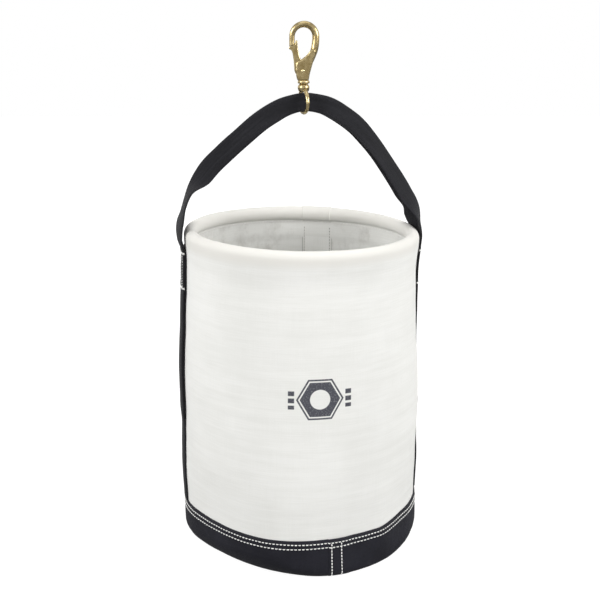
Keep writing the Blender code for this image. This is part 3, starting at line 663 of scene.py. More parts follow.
# ---- canvas -------------------------------------------------------------------------------------------
def make_wall():
    tucked = SKIRT_Z + 0.0008  # above this the wall runs behind the roll's outer leaf
    heights = np.concatenate([np.linspace(FLOOR_LOW.z, 0.055, 12), np.linspace(0.058, SKIRT_Z - 0.0004, 103)])
    heights = np.concatenate([heights, [tucked], np.linspace(tucked + 0.0012, 0.4005, 8)])
    inside = heights[::-2]
    rings = []
    for theta in ANGLES:
        tuck = {z: (CANVAS + 0.0002) * float(smooth((z - tucked) / 0.0012)) for z in heights}
        out = {z: wall_out(theta, z) - tuck[z] for z in heights}
        ring = [polar(theta, out[z], z) for z in heights]
        ring += [polar(theta, out[z] - lap_lift(theta) - CANVAS, z) for z in inside]
        rings.append(ring)
    girths = np.concatenate([heights, inside, heights[:1]])
    wall = sweep("wall_canvas", settle(rings), ARC_LENGTHS, girths, WALL_CANVAS, wrap=True)
    wall.data.materials.append(INNER_CANVAS)
    for face in wall.data.polygons:
        face.material_index = int(face.normal.xy.dot(face.center.xy) < 0)
    return put(wall, "bucket", "canvas", "canvas_wall")


def roll_profile(theta, inset):
    """The rim's roll at one angle: off the wall's face, up over the hoop, and down to the crease inside."""
    c, s = math.cos(theta), math.sin(theta)
    swell = 0.35 * spot_noise(4 * c + 2, 4 * s, 1.3) + 0.25 * spot_noise(11 * c, 11 * s + 3, 2.1)
    lap = lap_share(theta)
    bulge = (swell * 0.7 + 0.8 * lap) * MM
    half_wide = ROLL_HALF[0] + bulge - inset
    half_tall = ROLL_HALF[1] + (swell + 0.9 * lap) * MM - inset
    pucker = 0.3 * MM * spot_noise(17 * c + 8, 17 * s, 5.7) + 0.18 * MM * spot_noise(33 * c, 33 * s, 8.1)
    points = [(skirt_out(theta, z, bulge) - inset, z) for z in SKIRT_ROWS]
    for angle in np.radians(np.linspace(0, 232, 30)):
        low = max(0.0, -math.sin(angle))
        wide = (half_wide + pucker * low * 1.3) * math.cos(angle)
        points.append((ROLL_CENTRE[0] + wide, ROLL_CENTRE[1] + (half_tall + pucker * low) * math.sin(angle)))
    inner = leaf_face(theta) + inset
    points += [(inner - 0.0002 + pucker, 0.4024), (inner + pucker * 0.6, 0.4012)]
    return points + [(inner + 0.0001, LEAF_END_Z)]


def make_roll():
    rings = []
    for theta in ANGLES:
        outside = roll_profile(theta, 0.0)
        inside = roll_profile(theta, CANVAS)
        rings.append([polar(theta, r, z) for r, z in outside + inside[::-1]])
    girths = SKIRT_Z + girth([(x, z) for x, _, z in rings[len(rings) // 2]])
    roll = sweep("rim_roll", settle(rings), ARC_LENGTHS, girths, CANVAS_CLOTH, wrap=True)
    return put(roll, "bucket", "canvas", "rim_hem")


def hoop_ring(theta, wire, spokes):
    return [polar(theta, HOOP_CIRCLE + wire * math.cos(s), HOOP_Z + wire * math.sin(s)) for s in spokes]


def make_hoop():
    """The split pipe in the roll and the dowel that joins its ends."""
    split, splice = math.radians(1.2), math.radians(10)
    spokes = TAU * (np.arange(16) + 0.5) / 16
    angles = np.linspace(split, TAU - split, 160) + math.pi / 2
    put(pipe("hoop_pipe", angles, HOOP_WIRE, HOOP_WIRE - 0.0018, spokes), "bucket", "hoop", "top_hoop")
    angles = np.linspace(-splice, splice, 16) + math.pi / 2
    rings = [hoop_ring(theta, HOOP_WIRE - 0.0024, spokes) for theta in angles]
    dowel = sweep("hoop_dowel", settle(rings), angles * HOOP_CIRCLE, girth(rings[0]), PIPE)
    put(dowel, "bucket", "hoop", "hoop_splice")


def pipe(name, angles, wire, bore, spokes):
    """A hollow split ring: outer skin, bore and the two ring-shaped ends."""
    sides = len(spokes)
    verts = [spot for theta in angles for size in (wire, bore) for spot in hoop_ring(theta, size, spokes)]
    last = (len(angles) - 1) * 2 * sides
    faces = []
    for i in range(len(angles) - 1):
        a, b = i * 2 * sides, (i + 1) * 2 * sides
        for k in range(sides):
            l = (k + 1) % sides
            faces.append((a + k, a + l, b + l, b + k))
            faces.append((a + sides + l, a + sides + k, b + sides + k, b + sides + l))
    for k in range(sides):
        l = (k + 1) % sides
        faces.append((l, k, sides + k, sides + l))
        faces.append((last + k, last + l, last + sides + l, last + sides + k))
    verts = settle(verts)
    uvs = np.stack([np.arctan2(verts[:, 1], verts[:, 0]) * HOOP_CIRCLE, verts[:, 2]], -1)[np.array(faces)]
    return make(name, verts, faces, uvs, PIPE)


def make_seam_tape():
    """The reinforcing strip behind the wall's seam, inside the bucket."""
    heights = np.linspace(0.0105, 0.3955, 120)
    across = np.linspace(-1, 1, 15)
    rings = []
    for z in heights:
        ring = []
        for lift, order in ((0.0, across), (1.0, across[::-1])):
            for share in order:
                theta = SEAM_ANGLE + share * SEAM_HALF / TAPE_MID
                wave = 0.35 * MM * spot_noise(share * 1.5, 40 * z, 3.3) * abs(share)
                edge = 1 - 0.55 * float(smooth((abs(share) - 0.93) / 0.07))
                ring.append(polar(theta, tape_back(theta, z) - lift * (0.0013 * edge + wave + 0.0002), z))
        rings.append(ring)
    girths = girth([(x, y) for x, y, _ in rings[0]])
    # the strip's cloth has painted shadow along both its edges
    cloth = canvas_paint("strip_canvas_cloth", soiled=True, strip=float(girths[-1]) / 2)
    tape = sweep("seam_tape", settle(rings), heights, girths, cloth)
    return put(tape, "bucket", "canvas", "wall_seam_strip")


def tape_face(theta, z):
    return tape_back(theta, z) - 0.0015


def make_floor():
    """The canvas floor: a disc, pulled up a little at its edge and sagging in soft waves."""
    radii = np.concatenate([np.linspace(0.0001, 0.14, 40), [0.1445, 0.1485]])
    rings = []
    for theta in round_angles(120):
        c, s = math.cos(theta), math.sin(theta)
        top, low = [], []
        for radius in radii:
            limit = min(radius, boot_in(theta, FLOOR_HIGH.z - CANVAS) - CANVAS - 0.001)
            wave = 0.0005 * spot_noise(limit * c * 26, limit * s * 26, 2.7)
            rise = 0.0035 * float(smooth((radius - 0.138) / 0.012)) + wave
            top.append((limit * c, limit * s, FLOOR_HIGH.z + 0.0003 + rise))
            low.append((limit * c, limit * s, FLOOR_HIGH.z - CANVAS + 0.0003 + rise))
        rings.append(top + low[::-1])
    floor = disc("floor_canvas", rings, INNER_CANVAS)
    return put(floor, "bucket", "canvas", "canvas_floor")


def make_board():
    """The stiff board under the canvas floor, its edge a little rounded."""
    radii = np.linspace(0.0001, 1.0, 12)
    rings = []
    for theta in round_angles(96):
        edge = min(BOARD_HIGH.x, boot_in(theta, BOARD_LOW.z + 0.0012) - 0.0006)
        top = [polar(theta, edge * r, BOARD_HIGH.z) for r in radii[:-1]]
        top += [polar(theta, edge - 0.0006, BOARD_HIGH.z), polar(theta, edge, BOARD_HIGH.z - 0.0007)]
        low = [polar(theta, edge, BOARD_LOW.z + 0.0007), polar(theta, edge - 0.0006, BOARD_LOW.z)]
        low += [polar(theta, edge * r, BOARD_LOW.z) for r in radii[:-1][::-1]]
        rings.append(top + low)
    put(disc("stiff_board", rings, BOARD), "bucket", "board", "bottom_board")


# ---- stitches -----------------------------------------------------------------------------------------
STITCH_SINK = 0.0005  # how deep a stitch's ends dive
STITCH_SHARES = np.array([-1.0, -0.88, -0.6, -0.2, 0.2, 0.6, 0.88, 1.0])
STITCH_SIDES = 8


def stitch_row(path, normals, pitch=0.0045, radius=0.00052, fill=0.84):
    """One lock-stitch after another along a path: short twisted lengths that dive at both ends."""
    path, normals = np.array(path, float), np.array(normals, float)
    run = running(path)
    count = max(1, int(round(run[-1] / pitch)))
    pitch = run[-1] / count
    parts = []
    spokes = TAU * np.arange(STITCH_SIDES) / STITCH_SIDES
    girths = np.arange(STITCH_SIDES + 1) * TAU * radius / STITCH_SIDES

    def at(distance):
        place = np.array([np.interp(distance, run, path[:, k]) for k in range(3)])
        normal = np.array([np.interp(distance, run, normals[:, k]) for k in range(3)])
        return place, normal / np.linalg.norm(normal)

    for index in range(count):
        middle = (index + 0.5) * pitch
        rings = []
        for share in STITCH_SHARES:
            distance = min(run[-1], max(0.0, middle + share * pitch * fill / 2))
            place, normal = at(distance)
            ahead, _ = at(min(run[-1], distance + 0.0006))
            behind, _ = at(max(0.0, distance - 0.0006))
            along = ahead - behind
            along /= np.linalg.norm(along)
            side = np.cross(normal, along)
            lift = radius * 0.75 - (STITCH_SINK + radius) * abs(share) ** 4
            size = radius * (1 - 0.45 * abs(share) ** 3)
            centre = place + normal * lift
            rings.append([centre + size * (side * math.cos(a) + normal * math.sin(a) * 0.9) for a in spokes])
        parts.append(skin(rings, uv_grid(middle + STITCH_SHARES * pitch * fill / 2, girths), False))
    return parts


def sew(name, path, normals, nodes=(), **look):
    """One row of white stitching on the bucket."""
    put(join_skins(name, stitch_row(path, normals, **look), THREAD), "bucket", "thread", *nodes)


def outward(theta):
    return (math.cos(theta), math.sin(theta), 0.0)


def make_seam_stitches():
    """Two upright rows through the wall's seam, seen inside on the strip and outside on the lap."""
    heights = np.linspace(0.0145, 0.3925, 130)
    inside_nodes = ("seam_thread_left", "seam_thread_right")
    for name, face, facing, thread, nodes in (
        ("seam_stitches_inside", lambda t, z: tape_face(t, z) + 0.0001, -1, GREY_THREAD, inside_nodes),
        ("seam_stitches_outside", wall_out, 1, THREAD, ()),
    ):
        parts = []
        for side in (-1, 1):
            theta = SEAM_ANGLE + side * (SEAM_HALF - 0.003) / SEAM_ROW_MID
            used = heights if facing < 0 else heights[heights > BOOT_TOP]
            path = settle([polar(theta, face(theta, z), z) for z in used])
            normals = [np.array(outward(theta)) * facing] * len(path)
            parts += stitch_row(path, normals, pitch=0.0042)
        put(join_skins(name, parts, thread), "bucket", "thread", *nodes)


def make_hem_stitches():
    """The row that closes the roll, on its inner leaf, close under the roll."""
    path, normals = [], []
    for theta in np.linspace(-math.pi, math.pi, 301):
        path.append(polar(theta, leaf_face(theta), LEAF_END_Z + 0.0011))
        normals.append(-np.array(outward(theta)))
    sew("hem_stitches", settle(path), normals, ["hem_thread"], pitch=0.0048, radius=0.0005)


# ---- the boot -----------------------------------------------------------------------------------------
BOOT_SEAM_ANGLE = -math.acos(BOOT_SEAM_X / BOOT_TOP_RADIUS)
SOLE_ROW_RADIUS = 0.1425  # the sewn row round the boot's bottom


def boot_lap(theta):
    """The boot's end laps over its start: proud between its edge and its fold."""
    off = (theta - BOOT_SEAM_ANGLE) * BOOT_MID
    rise, fall = smooth((off + BOOT_SEAM_HALF + 0.0042) / 0.0011), smooth((off - 0.012) / 0.014)
    return 0.0013 * float(rise * (1 - fall))


def boot_pucker(theta, z):
    c, s = math.cos(theta), math.sin(theta)
    low = float(smooth((0.03 - z) / 0.02))
    fine = 0.4 * spot_noise(13 * c + 4, 13 * s, 40 * z) + 0.25 * spot_noise(28 * c, 28 * s + 3, 60 * z)
    broad = 0.5 * spot_noise(5 * c, 5 * s + 7, 14 * z)
    edge = 0.35 * float(smooth((z - 0.04) / 0.012)) * spot_noise(10 * c + 1, 10 * s, 3.0)
    return (fine * low + broad + edge) * MM


def boot_face(theta, z):
    return boot_out(theta, z) + boot_pucker(theta, z) + boot_lap(theta)


def boot_profile(theta, inset):
    """The boot band at one angle, from its top edge down and round the corner to its inner edge below."""
    corner = boot_corner(theta)
    points = [(boot_face(theta, z) - inset, z) for z in np.linspace(BOOT_TOP, corner, 18)]
    centre = boot_out(theta, corner) - corner
    reach = SOLE_RADIUS + 0.0003
    stop = math.pi / 2 if reach <= centre else math.acos(min(1.0, (reach - centre) / corner))
    for angle in np.linspace(0, stop, 16)[1:]:
        z = corner - (corner - inset) * math.sin(angle)
        radius = centre + (corner - inset + boot_pucker(theta, z) + boot_lap(theta)) * math.cos(angle)
        points.append((radius, z))
    radius, z = points[-1]
    for share in (0.5, 1.0):
        points.append((radius + (min(reach, radius) - radius) * share, z))
    return points


def make_boot():
    rings = []
    for theta in BOOT_ANGLES:
        outside, inside = boot_profile(theta, 0.0), boot_profile(theta, LEATHER)
        outside[0] = (outside[0][0] - 0.0006, outside[0][1])
        top = (outside[0][0] - 0.0004, BOOT_TOP + 0.0004)
        outline = [top] + outside + inside[::-1] + [(inside[0][0], BOOT_TOP)]
        rings.append([polar(theta, r, z) for r, z in outline])
    girths = girth([(x, z) for x, _, z in rings[0]])
    lengths = np.append(BOOT_ANGLES, math.pi) * BOOT_MID
    band = sweep("boot_side", settle(rings), lengths, girths, BOOT, wrap=True)
    put(band, "bucket", "boot", "boot_band")


BOOT_ANGLES = sorted(
    list(round_angles(300))
    + [BOOT_SEAM_ANGLE + (off - BOOT_SEAM_HALF - 0.0042) / BOOT_MID for off in (0.0, 0.0004, 0.0008, 0.0012)]
)


def sole_height(theta, radius):
    """How far the boot's bottom is off the ground at its soft corner."""
    corner = boot_corner(theta)
    over = radius - (boot_out(theta, corner) - corner)
    return 0.0 if over <= 0 else corner - math.sqrt(max(0.0, corner**2 - over**2))


def make_sole():
    """The boot's bottom: a disc let into the band, with a sewn rim."""
    radii = np.concatenate([np.linspace(0.0001, 0.12, 22), np.linspace(0.123, SOLE_RADIUS, 12)])
    rings = []
    for theta in round_angles(180):
        c, s = math.cos(theta), math.sin(theta)
        low, top = [], []
        for radius in radii:
            groove = 0.0006 * math.exp(-(((radius - SOLE_ROW_RADIUS) / 0.0009) ** 2))
            wave = 0.0004 * abs(spot_noise(radius * c * 30, radius * s * 30, 1.2)) * float(radius < 0.135)
            z = sole_height(theta, radius) + groove + wave
            low.append((radius * c, radius * s, z))
            top.append((radius * c, radius * s, z + SOLE_THICK - 0.0004))
        rings.append(low + top[::-1])
    put(disc("boot_sole", rings, BOOT), "bucket", "boot", "boot_bottom")
    path = []
    for theta in np.linspace(-math.pi, math.pi, 201):
        path.append(polar(theta, SOLE_ROW_RADIUS, sole_height(theta, SOLE_ROW_RADIUS) + 0.0008))
    sew("sole_stitches", path, [(0, 0, -1)] * len(path), radius=0.0004)


def make_boot_stitches():
    for name, node, z, pitch in (
        ("boot_stitches_upper", "boot_thread_upper", BOOT_TOP - 0.0042, 0.0047),
        ("boot_stitches_lower", "boot_thread_lower", BOOT_TOP - 0.0102, 0.0049),
    ):
        path, normals = [], []
        for theta in np.linspace(-math.pi, math.pi, 401):
            wander = 0.0003 * spot_noise(6 * math.cos(theta), 6 * math.sin(theta), 200 * z)
            path.append(polar(theta, boot_face(theta, z + wander) - 0.00005, z + wander))
            normals.append(outward(theta))
        sew(name, settle(path), normals, [node], pitch=pitch, radius=0.00072, fill=0.76)
    for side, label in ((-1, "left"), (1, "right")):
        theta = -math.acos((BOOT_SEAM_X + side * BOOT_SEAM_HALF) / BOOT_TOP_RADIUS)
        path, normals = [], []
        corner = boot_corner(theta)
        for z in np.linspace(BOOT_TOP - 0.0048, 0.0022, 30):
            path.append(polar(theta, boot_face(theta, z), z))
            dip = math.asin(min(1.0, max(0.0, (corner - z) / corner)))
            normals.append(np.array(outward(theta)) * math.cos(dip) - np.array((0, 0, math.sin(dip))))
        name, node = f"boot_lap_stitches_{label}", f"boot_seam_thread_{label}"
        sew(name, settle(path), normals, [node], pitch=0.0044, radius=0.00072, fill=0.76)


# ---- the webbing --------------------------------------------------------------------------------------
TURN = math.atan2(JOINTS["handle_swing"]["axis"][1], JOINTS["handle_swing"]["axis"][0])
LEFT_ANGLE, RIGHT_ANGLE = math.pi + TURN, TURN
# the webbing's outer line over the top, in the upright plane turned by TURN: distance from the middle, height
LEFT_LINE = [
    (-0.1545, 0.386), (-0.156, 0.396), (-0.1586, 0.407), (-0.1593, 0.418), (-0.158, 0.429),
    (-0.155, 0.4396), (-0.1523, 0.4498), (-0.1494, 0.4601), (-0.1464, 0.4703), (-0.1425, 0.4805),
    (-0.135, 0.495), (-0.1231, 0.5108), (-0.1038, 0.5292), (-0.0807, 0.5492), (-0.0552, 0.5697),
    (-0.0302, 0.5838), (-0.0081, 0.5904),
]
RIGHT_LINE = [
    (0.0162, 0.5915), (0.0375, 0.5872), (0.0585, 0.5763), (0.0825, 0.5579), (0.1021, 0.5344),
    (0.1207, 0.5083), (0.1384, 0.482), (0.1468, 0.468), (0.154, 0.456), (0.1585, 0.444),
    (0.1601, 0.433), (0.1602, 0.42), (0.1592, 0.408), (0.1578, 0.397), (0.1566, 0.386),
]
# how far each half of the webbing is folded open, in degrees, by height
LEFT_OPEN = [
    (0.455, 90), (0.4645, 88), (0.471, 84), (0.478, 79), (0.4845, 60), (0.4905, 41), (0.497, 29), (0.506, 21),
    (0.53, 14), (0.59, 11),
]
RIGHT_OPEN = [
    (0.408, 90), (0.416, 82), (0.425, 71), (0.434, 61), (0.443, 58), (0.455, 47), (0.465, 39.5), (0.478, 39),
    (0.517, 41), (0.5275, 38), (0.5376, 33), (0.5478, 26), (0.5578, 22), (0.575, 18), (0.59, 14),
]
# how far the webbing twists where it passes the rim, in degrees, by height
LEFT_TWIST = [(0.396, 0), (0.408, 3.5), (0.418, 6), (0.428, 6), (0.435, 5), (0.443, 2), (0.452, 0)]
RIGHT_TWIST = [(0.4, 0), (0.412, -3), (0.422, -8), (0.432, -9), (0.439, -5), (0.446, -1), (0.453, 0)]
HALF_WEB = WEB_WIDTH / 2
SIDE_LOW = BOOT_TOP + 0.0008
SIDE_TOP = 0.388
WALL_RADIUS = 0.155
LEAF_STEPS = 15
BACKING = 0.0022  # the second layer of webbing under the outer one
BACKING_LOW = 0.172


def web_section(omega, front, rear, bow):
    """Lateral place and depth of the webbing's mid-line and its outward normal, front edge to rear edge."""
    sides = []
    for length in (front, rear):
        fine = np.linspace(0, length, 90)
        turn = math.pi / 2 - omega
        fold = max(0.0022 * turn / (math.pi / 2) * 1.6, 1e-5)
        phi = turn * smooth(fine / fold) + bow * fine / length
        step = fine[1] - fine[0]
        across, depth = (
            np.concatenate([[0], np.cumsum((way[1:] + way[:-1]) / 2 * step)])
            for way in (np.cos(phi), np.sin(phi))
        )
        at = length * np.linspace(0, 1, LEAF_STEPS + 1) ** 1.35
        sides.append([np.interp(at, fine, values) for values in (across, depth, phi)] + [at])
    (fa, fd, fp, fu), (ra, rd, rp, ru) = sides
    across = np.concatenate([-fa[:0:-1], ra])
    depth = np.concatenate([fd[:0:-1], rd])
    normal_across = np.concatenate([-np.sin(fp[:0:-1]), np.sin(rp)])
    normal_depth = np.concatenate([-np.cos(fp[:0:-1]), -np.cos(rp)])
    run = np.concatenate([-fu[:0:-1], ru])
    return across, depth, normal_across, normal_depth, run


def edge_thickness(run, front, rear):
    """Half the webbing's thickness across its width, rounded off at both selvedges."""
    inset = np.minimum(run + front, rear - run)
    return WEB / 2 * (0.42 + 0.58 * np.sqrt(smooth(np.clip(inset / 0.0013, 0, 1))))


def backing_share(z):
    """The backing thins out at its lower end, so the outer webbing comes down to the wall in a long ramp."""
    return float(smooth((z - BACKING_LOW + 0.015) / 0.028))


def side_radius(theta, z):
    """Inner face of the outer webbing on the wall, over its backing."""
    return skirt_out(theta, z) + 0.0003 + (BACKING + 0.0001) * backing_share(z)


def make_backing():
    """The webbing is doubled where it is sewn to the wall: this is the layer against the canvas."""
    for label, middle, sign in (("left", LEFT_ANGLE, -1), ("right", RIGHT_ANGLE, 1)):
        heights = np.concatenate([np.arange(BACKING_LOW, 0.389, 0.0045), [0.3925, 0.3945, 0.3955]])
        run = np.linspace(-HALF_WEB, HALF_WEB, 2 * LEAF_STEPS + 1)
        half = edge_thickness(run, HALF_WEB, HALF_WEB) * BACKING / WEB
        rings = []
        for z in heights:
            end = 1 - 0.6 * float(smooth((z - 0.3935) / 0.002))
            mid = 0.0003 + BACKING / 2 * backing_share(z)
            faces = []
            for side in (1, -1):
                angles = middle + sign * run / WEB_MID
                thick = side * end * backing_share(z)
                reach = [skirt_out(t, z) + mid + h * thick for t, h in zip(angles, half)]
                faces.append([polar(t, r, z) for t, r in zip(angles, reach)])
            rings.append(np.vstack([faces[0], faces[1][::-1]]))
        girths = np.concatenate([run, run[::-1], run[:1]])
        put(sweep(f"strap_backing_{label}", settle(rings), heights, girths, WEBBING), "bucket", "webbing")


def make_strap():
    """The whole length of webbing: up the left side, over the top folded in half, down the right."""
    line = curve_through(LEFT_LINE + [(HANG_X, 0.5919)] + RIGHT_LINE, 0.0045)
    low_heights = np.arange(SIDE_LOW, SIDE_TOP - 0.003, 0.0045)
    stations = [("left", None, z) for z in low_heights]
    stations += [("arch", index, line[index][1]) for index in range(len(line))]
    stations += [("right", None, z) for z in low_heights[::-1]]
    rings, lengths, place_before, length = [], [], None, 0.0
    top_index = int(np.argmax(line[:, 1]))
    ahead_way = np.array([math.cos(TURN), math.sin(TURN)])
    for kind, index, height in stations:
        left = kind == "left" or (kind == "arch" and index < top_index)
        if kind == "arch":
            place = line[index]
            ahead = line[min(index + 1, len(line) - 1)] - line[max(index - 1, 0)]
            ahead /= np.linalg.norm(ahead)
            inward = np.array([ahead[1], -ahead[0]])
        else:
            place = np.array([math.copysign(WALL_RADIUS, -1 if left else 1), height])
            inward = np.array([1.0 if left else -1.0, 0.0])
        x, z = place
        rows = LEFT_OPEN if left else RIGHT_OPEN
        opening = float(np.mean([table(z + lean, rows) for lean in (-0.004, 0, 0.004)]))
        share = 1 - opening / 90
        crown = float(1 - smooth((abs(x - HANG_X) - 0.01) / 0.04)) if kind == "arch" and z > 0.55 else 0.0
        front = HALF_WEB + (0.0228 - HALF_WEB) * crown
        rear = HALF_WEB + (0.023 - HALF_WEB) * crown
        omega = math.radians(opening * (1 - crown) + 1.5 * crown)
        wobble = 0.035 * spot_noise(9 * x, 2.2, 9 * z) * share * (1 - crown)
        flat_bow = HALF_WEB / WALL_RADIUS
        bow = flat_bow * (1 - share) ** 2 + 0.1 * share * (1 - crown)
        across, depth, n_across, n_depth, run = web_section(max(omega, 0.02) + wobble, front, rear, bow)
        ripple = 0.00035 * np.array([spot_noise(r * 90, x * 40 + 7, z * 40) for r in run]) * share
        half = edge_thickness(run, front, rear)
        angle = LEFT_ANGLE if left else RIGHT_ANGLE
        lean = 0.07 * spot_noise(6 * x + 3, 1.1, 6 * z) * share * (1 - crown)
        if kind == "arch":
            lean += math.radians(table(z, LEFT_TWIST if left else RIGHT_TWIST))
        faces = []
        for side in (1, -1):
            shift = half * side + ripple
            lateral = across + n_across * shift
            deep = depth + n_depth * shift + WEB / 2
            tilted_l = lateral * math.cos(lean) + deep * math.sin(lean)
            tilted_d = deep * math.cos(lean) - lateral * math.sin(lean)
            reach = x + inward[0] * tilted_d
            arch = np.column_stack(
                [
                    reach * ahead_way[0] - tilted_l * ahead_way[1],
                    reach * ahead_way[1] + tilted_l * ahead_way[0],
                    z + inward[1] * tilted_d,
                ]
            )
            weight = 1.0 if kind != "arch" else 1 - float(smooth((z - 0.3935) / 0.014))
            if weight > 0:
                on_wall = []
                for r, h in zip(run, half):
                    theta = angle + (-r if left else r) / WEB_MID
                    on_wall.append(polar(theta, side_radius(theta, z) + WEB / 2 + h * side, z))
                arch = settle(on_wall) * weight + arch * (1 - weight)
            faces.append(arch)
        rings.append(np.vstack([faces[0], faces[1][::-1]]))
        here = rings[-1].mean(0)
        length += 0.0 if place_before is None else float(np.linalg.norm(here - place_before))
        place_before = here
        lengths.append(length)
    run = np.linspace(-HALF_WEB, HALF_WEB, len(rings[0]) // 2)
    girths = np.concatenate([run, run[::-1], run[:1]])
    strap = sweep("web_strap", rings, lengths, girths, WEBBING)
    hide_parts("side_strap_left", "side_strap_right", "handle_strap")
    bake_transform(strap)


def make_tacks():
    """Box-and-cross stitching that fastens each side of the webbing, its end bars wrapping the selvedges."""
    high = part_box("strap_tack_left")[1].z + 0.0045
    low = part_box("strap_tack_left")[0].z + 0.0095
    for label, middle, sign in (("left", LEFT_ANGLE, -1), ("right", RIGHT_ANGLE, 1)):

        def on_web(across, z):
            theta = middle + sign * across / WEB_MID
            lap = float(smooth((abs(across) - HALF_WEB + 0.0022) / 0.0026))
            radius = side_radius(theta, z) + WEB * (1 - lap) + 0.0001
            normal = np.array(outward(theta)) * (1 - lap) + lap * sign * math.copysign(1, across) * np.array(
                (-math.sin(theta), math.cos(theta), 0)
            )
            return polar(theta, radius, z), normal

        wide = HALF_WEB - 0.005
        edge = HALF_WEB + 0.0006
        rows = []
        for z in (low, high):
            rows += [((-edge, z), (edge, z), 0.00062), ((-edge, z - 0.0013), (edge, z - 0.0013), 0.00062)]
        rows += [
            ((-wide, low), (-wide, high), 0.00045), ((wide, low), (wide, high), 0.00045),
            ((-wide, low), (wide, high), 0.00045), ((-wide, high), (wide, low), 0.00045),
        ]
        parts = []
        for start, end, radius in rows:
            start, end = np.array(start), np.array(end)
            spots = [on_web(*(start + (end - start) * t)) for t in np.linspace(0, 1, 24)]
            press = 0.0 if radius > 0.0005 else 0.0003  # the long rows are drawn down into the pile
            path = [np.array(place) - normal * press for place, normal in spots]
            parts += stitch_row(settle(path), [normal for _, normal in spots], pitch=0.0036, radius=radius)
        put(join_skins(f"tack_{label}", parts, THREAD), "bucket", "thread", f"strap_tack_{label}")


# ---- the brass hook -----------------------------------------------------------------------------------
def from_bmesh(name, bm, material=None):
    bmesh.ops.recalc_face_normals(bm, faces=bm.faces)
    mesh = bpy.data.meshes.new(name)
    bm.to_mesh(mesh)
    bm.free()
    if material:
        mesh.materials.append(material)
    return into_scene(name, mesh)


def loft(name, sections, closed=False, material=None):
    bm = bmesh.new()
    rings = [[bm.verts.new(tuple(point)) for point in section] for section in sections]
    pairs = list(zip(rings, rings[1:])) + ([(rings[-1], rings[0])] if closed else [])
    for first, second in pairs:
        for i in range(len(first)):
            j = (i + 1) % len(first)
            bm.faces.new((first[i], first[j], second[j], second[i]))
    if not closed:
        bm.faces.new(rings[0])
        bm.faces.new(rings[-1][::-1])
    return from_bmesh(name, bm, material)


def lathe(name, profile, centre, axis=(0, 0, 1), steps=40, material=None):
    """A closed (radius, height) outline spun round an axis through centre."""
    turn = Vector((0, 0, 1)).rotation_difference(Vector(axis)).to_matrix()
    sections = []
    for i in range(steps):
        a = TAU * i / steps
        ring = [Vector((max(r, 1e-6) * math.cos(a), max(r, 1e-6) * math.sin(a), z)) for r, z in profile]
        sections.append([Vector(centre) + turn @ p for p in ring])
    return loft(name, sections, True, material)


def tube(name, points, radii, sides=20):
    """A round bar in the XZ plane along points, with a radius at each."""
    points = [Vector(p) for p in points]
    spokes = [TAU * k / sides for k in range(sides)]
    side = Vector((0, 1, 0))
    sections = []
    for i, point in enumerate(points):
        ahead = (points[min(i + 1, len(points) - 1)] - points[max(i - 1, 0)]).normalized()
        up = ahead.cross(side).normalized()
        sections.append([point + up * math.cos(a) * radii[i] + side * math.sin(a) * radii[i] for a in spokes])
    return loft(name, sections)


def rod(radius, low, high):
    """The lathe's outline for a plain round bar."""
    return [(0, low), (radius, low), (radius, high), (0, high)]


def slab(name, outline, half):
    """A flat piece of the hook: an outline round the hook's upright axis, as thick as twice half."""
    bm = bmesh.new()
    face = bm.faces.new([bm.verts.new((x + HANG_X, -half, z)) for x, z in outline])
    made = bmesh.ops.extrude_face_region(bm, geom=[face])["geom"]
    moved = [item for item in made if isinstance(item, bmesh.types.BMVert)]
    bmesh.ops.translate(bm, verts=moved, vec=(0, 2 * half, 0))
    return from_bmesh(name, bm)


def apply_modifiers(obj):
    """The object with its modifiers made real."""
    bpy.context.view_layer.update()
    graph = bpy.context.evaluated_depsgraph_get()
    mesh = bpy.data.meshes.new_from_object(obj.evaluated_get(graph))
    obj.modifiers.clear()
    obj.data = mesh
    return obj


def bevelled(obj, width, segments=3, angle=30):
    modifier = obj.modifiers.new("rounded", "BEVEL")
    modifier.width = width
    modifier.segments = segments
    modifier.limit_method = "ANGLE"
    modifier.angle_limit = math.radians(angle)
    return apply_modifiers(obj)


def cast(name, adds, cuts, voxel, soften, material):
    """One casting: pieces joined, then cut, then remeshed and softened so every corner has a small fillet."""
    whole = adds[0]
    for tool, operation in [(tool, "UNION") for tool in adds[1:]] + [(tool, "DIFFERENCE") for tool in cuts]:
        modifier = whole.modifiers.new(operation.lower(), "BOOLEAN")
        modifier.operation = operation
        modifier.object = tool
        apply_modifiers(whole)
        bpy.data.objects.remove(tool)
    remesh = whole.modifiers.new("voxels", "REMESH")
    remesh.mode = "VOXEL"
    remesh.voxel_size = voxel
    softer = whole.modifiers.new("soften", "SMOOTH")
    softer.factor = 0.5
    softer.iterations = soften
    apply_modifiers(whole)
    whole.name = name
    whole.data.name = name
    whole.data.materials.clear()
    whole.data.materials.append(material)
    whole.data.shade_smooth()
    return whole


COLLAR_Z, COLLAR_TOP, COLLAR_RADIUS = 0.6034, 0.6078, 0.0077
HOOK_HALF = 0.0058
PIN_BORE = rod(0.0018, -0.01, 0.01)
ON_HOOK = (HANG_X, 0, 0)  # the hook's upright axis
VOXEL = 0.00036


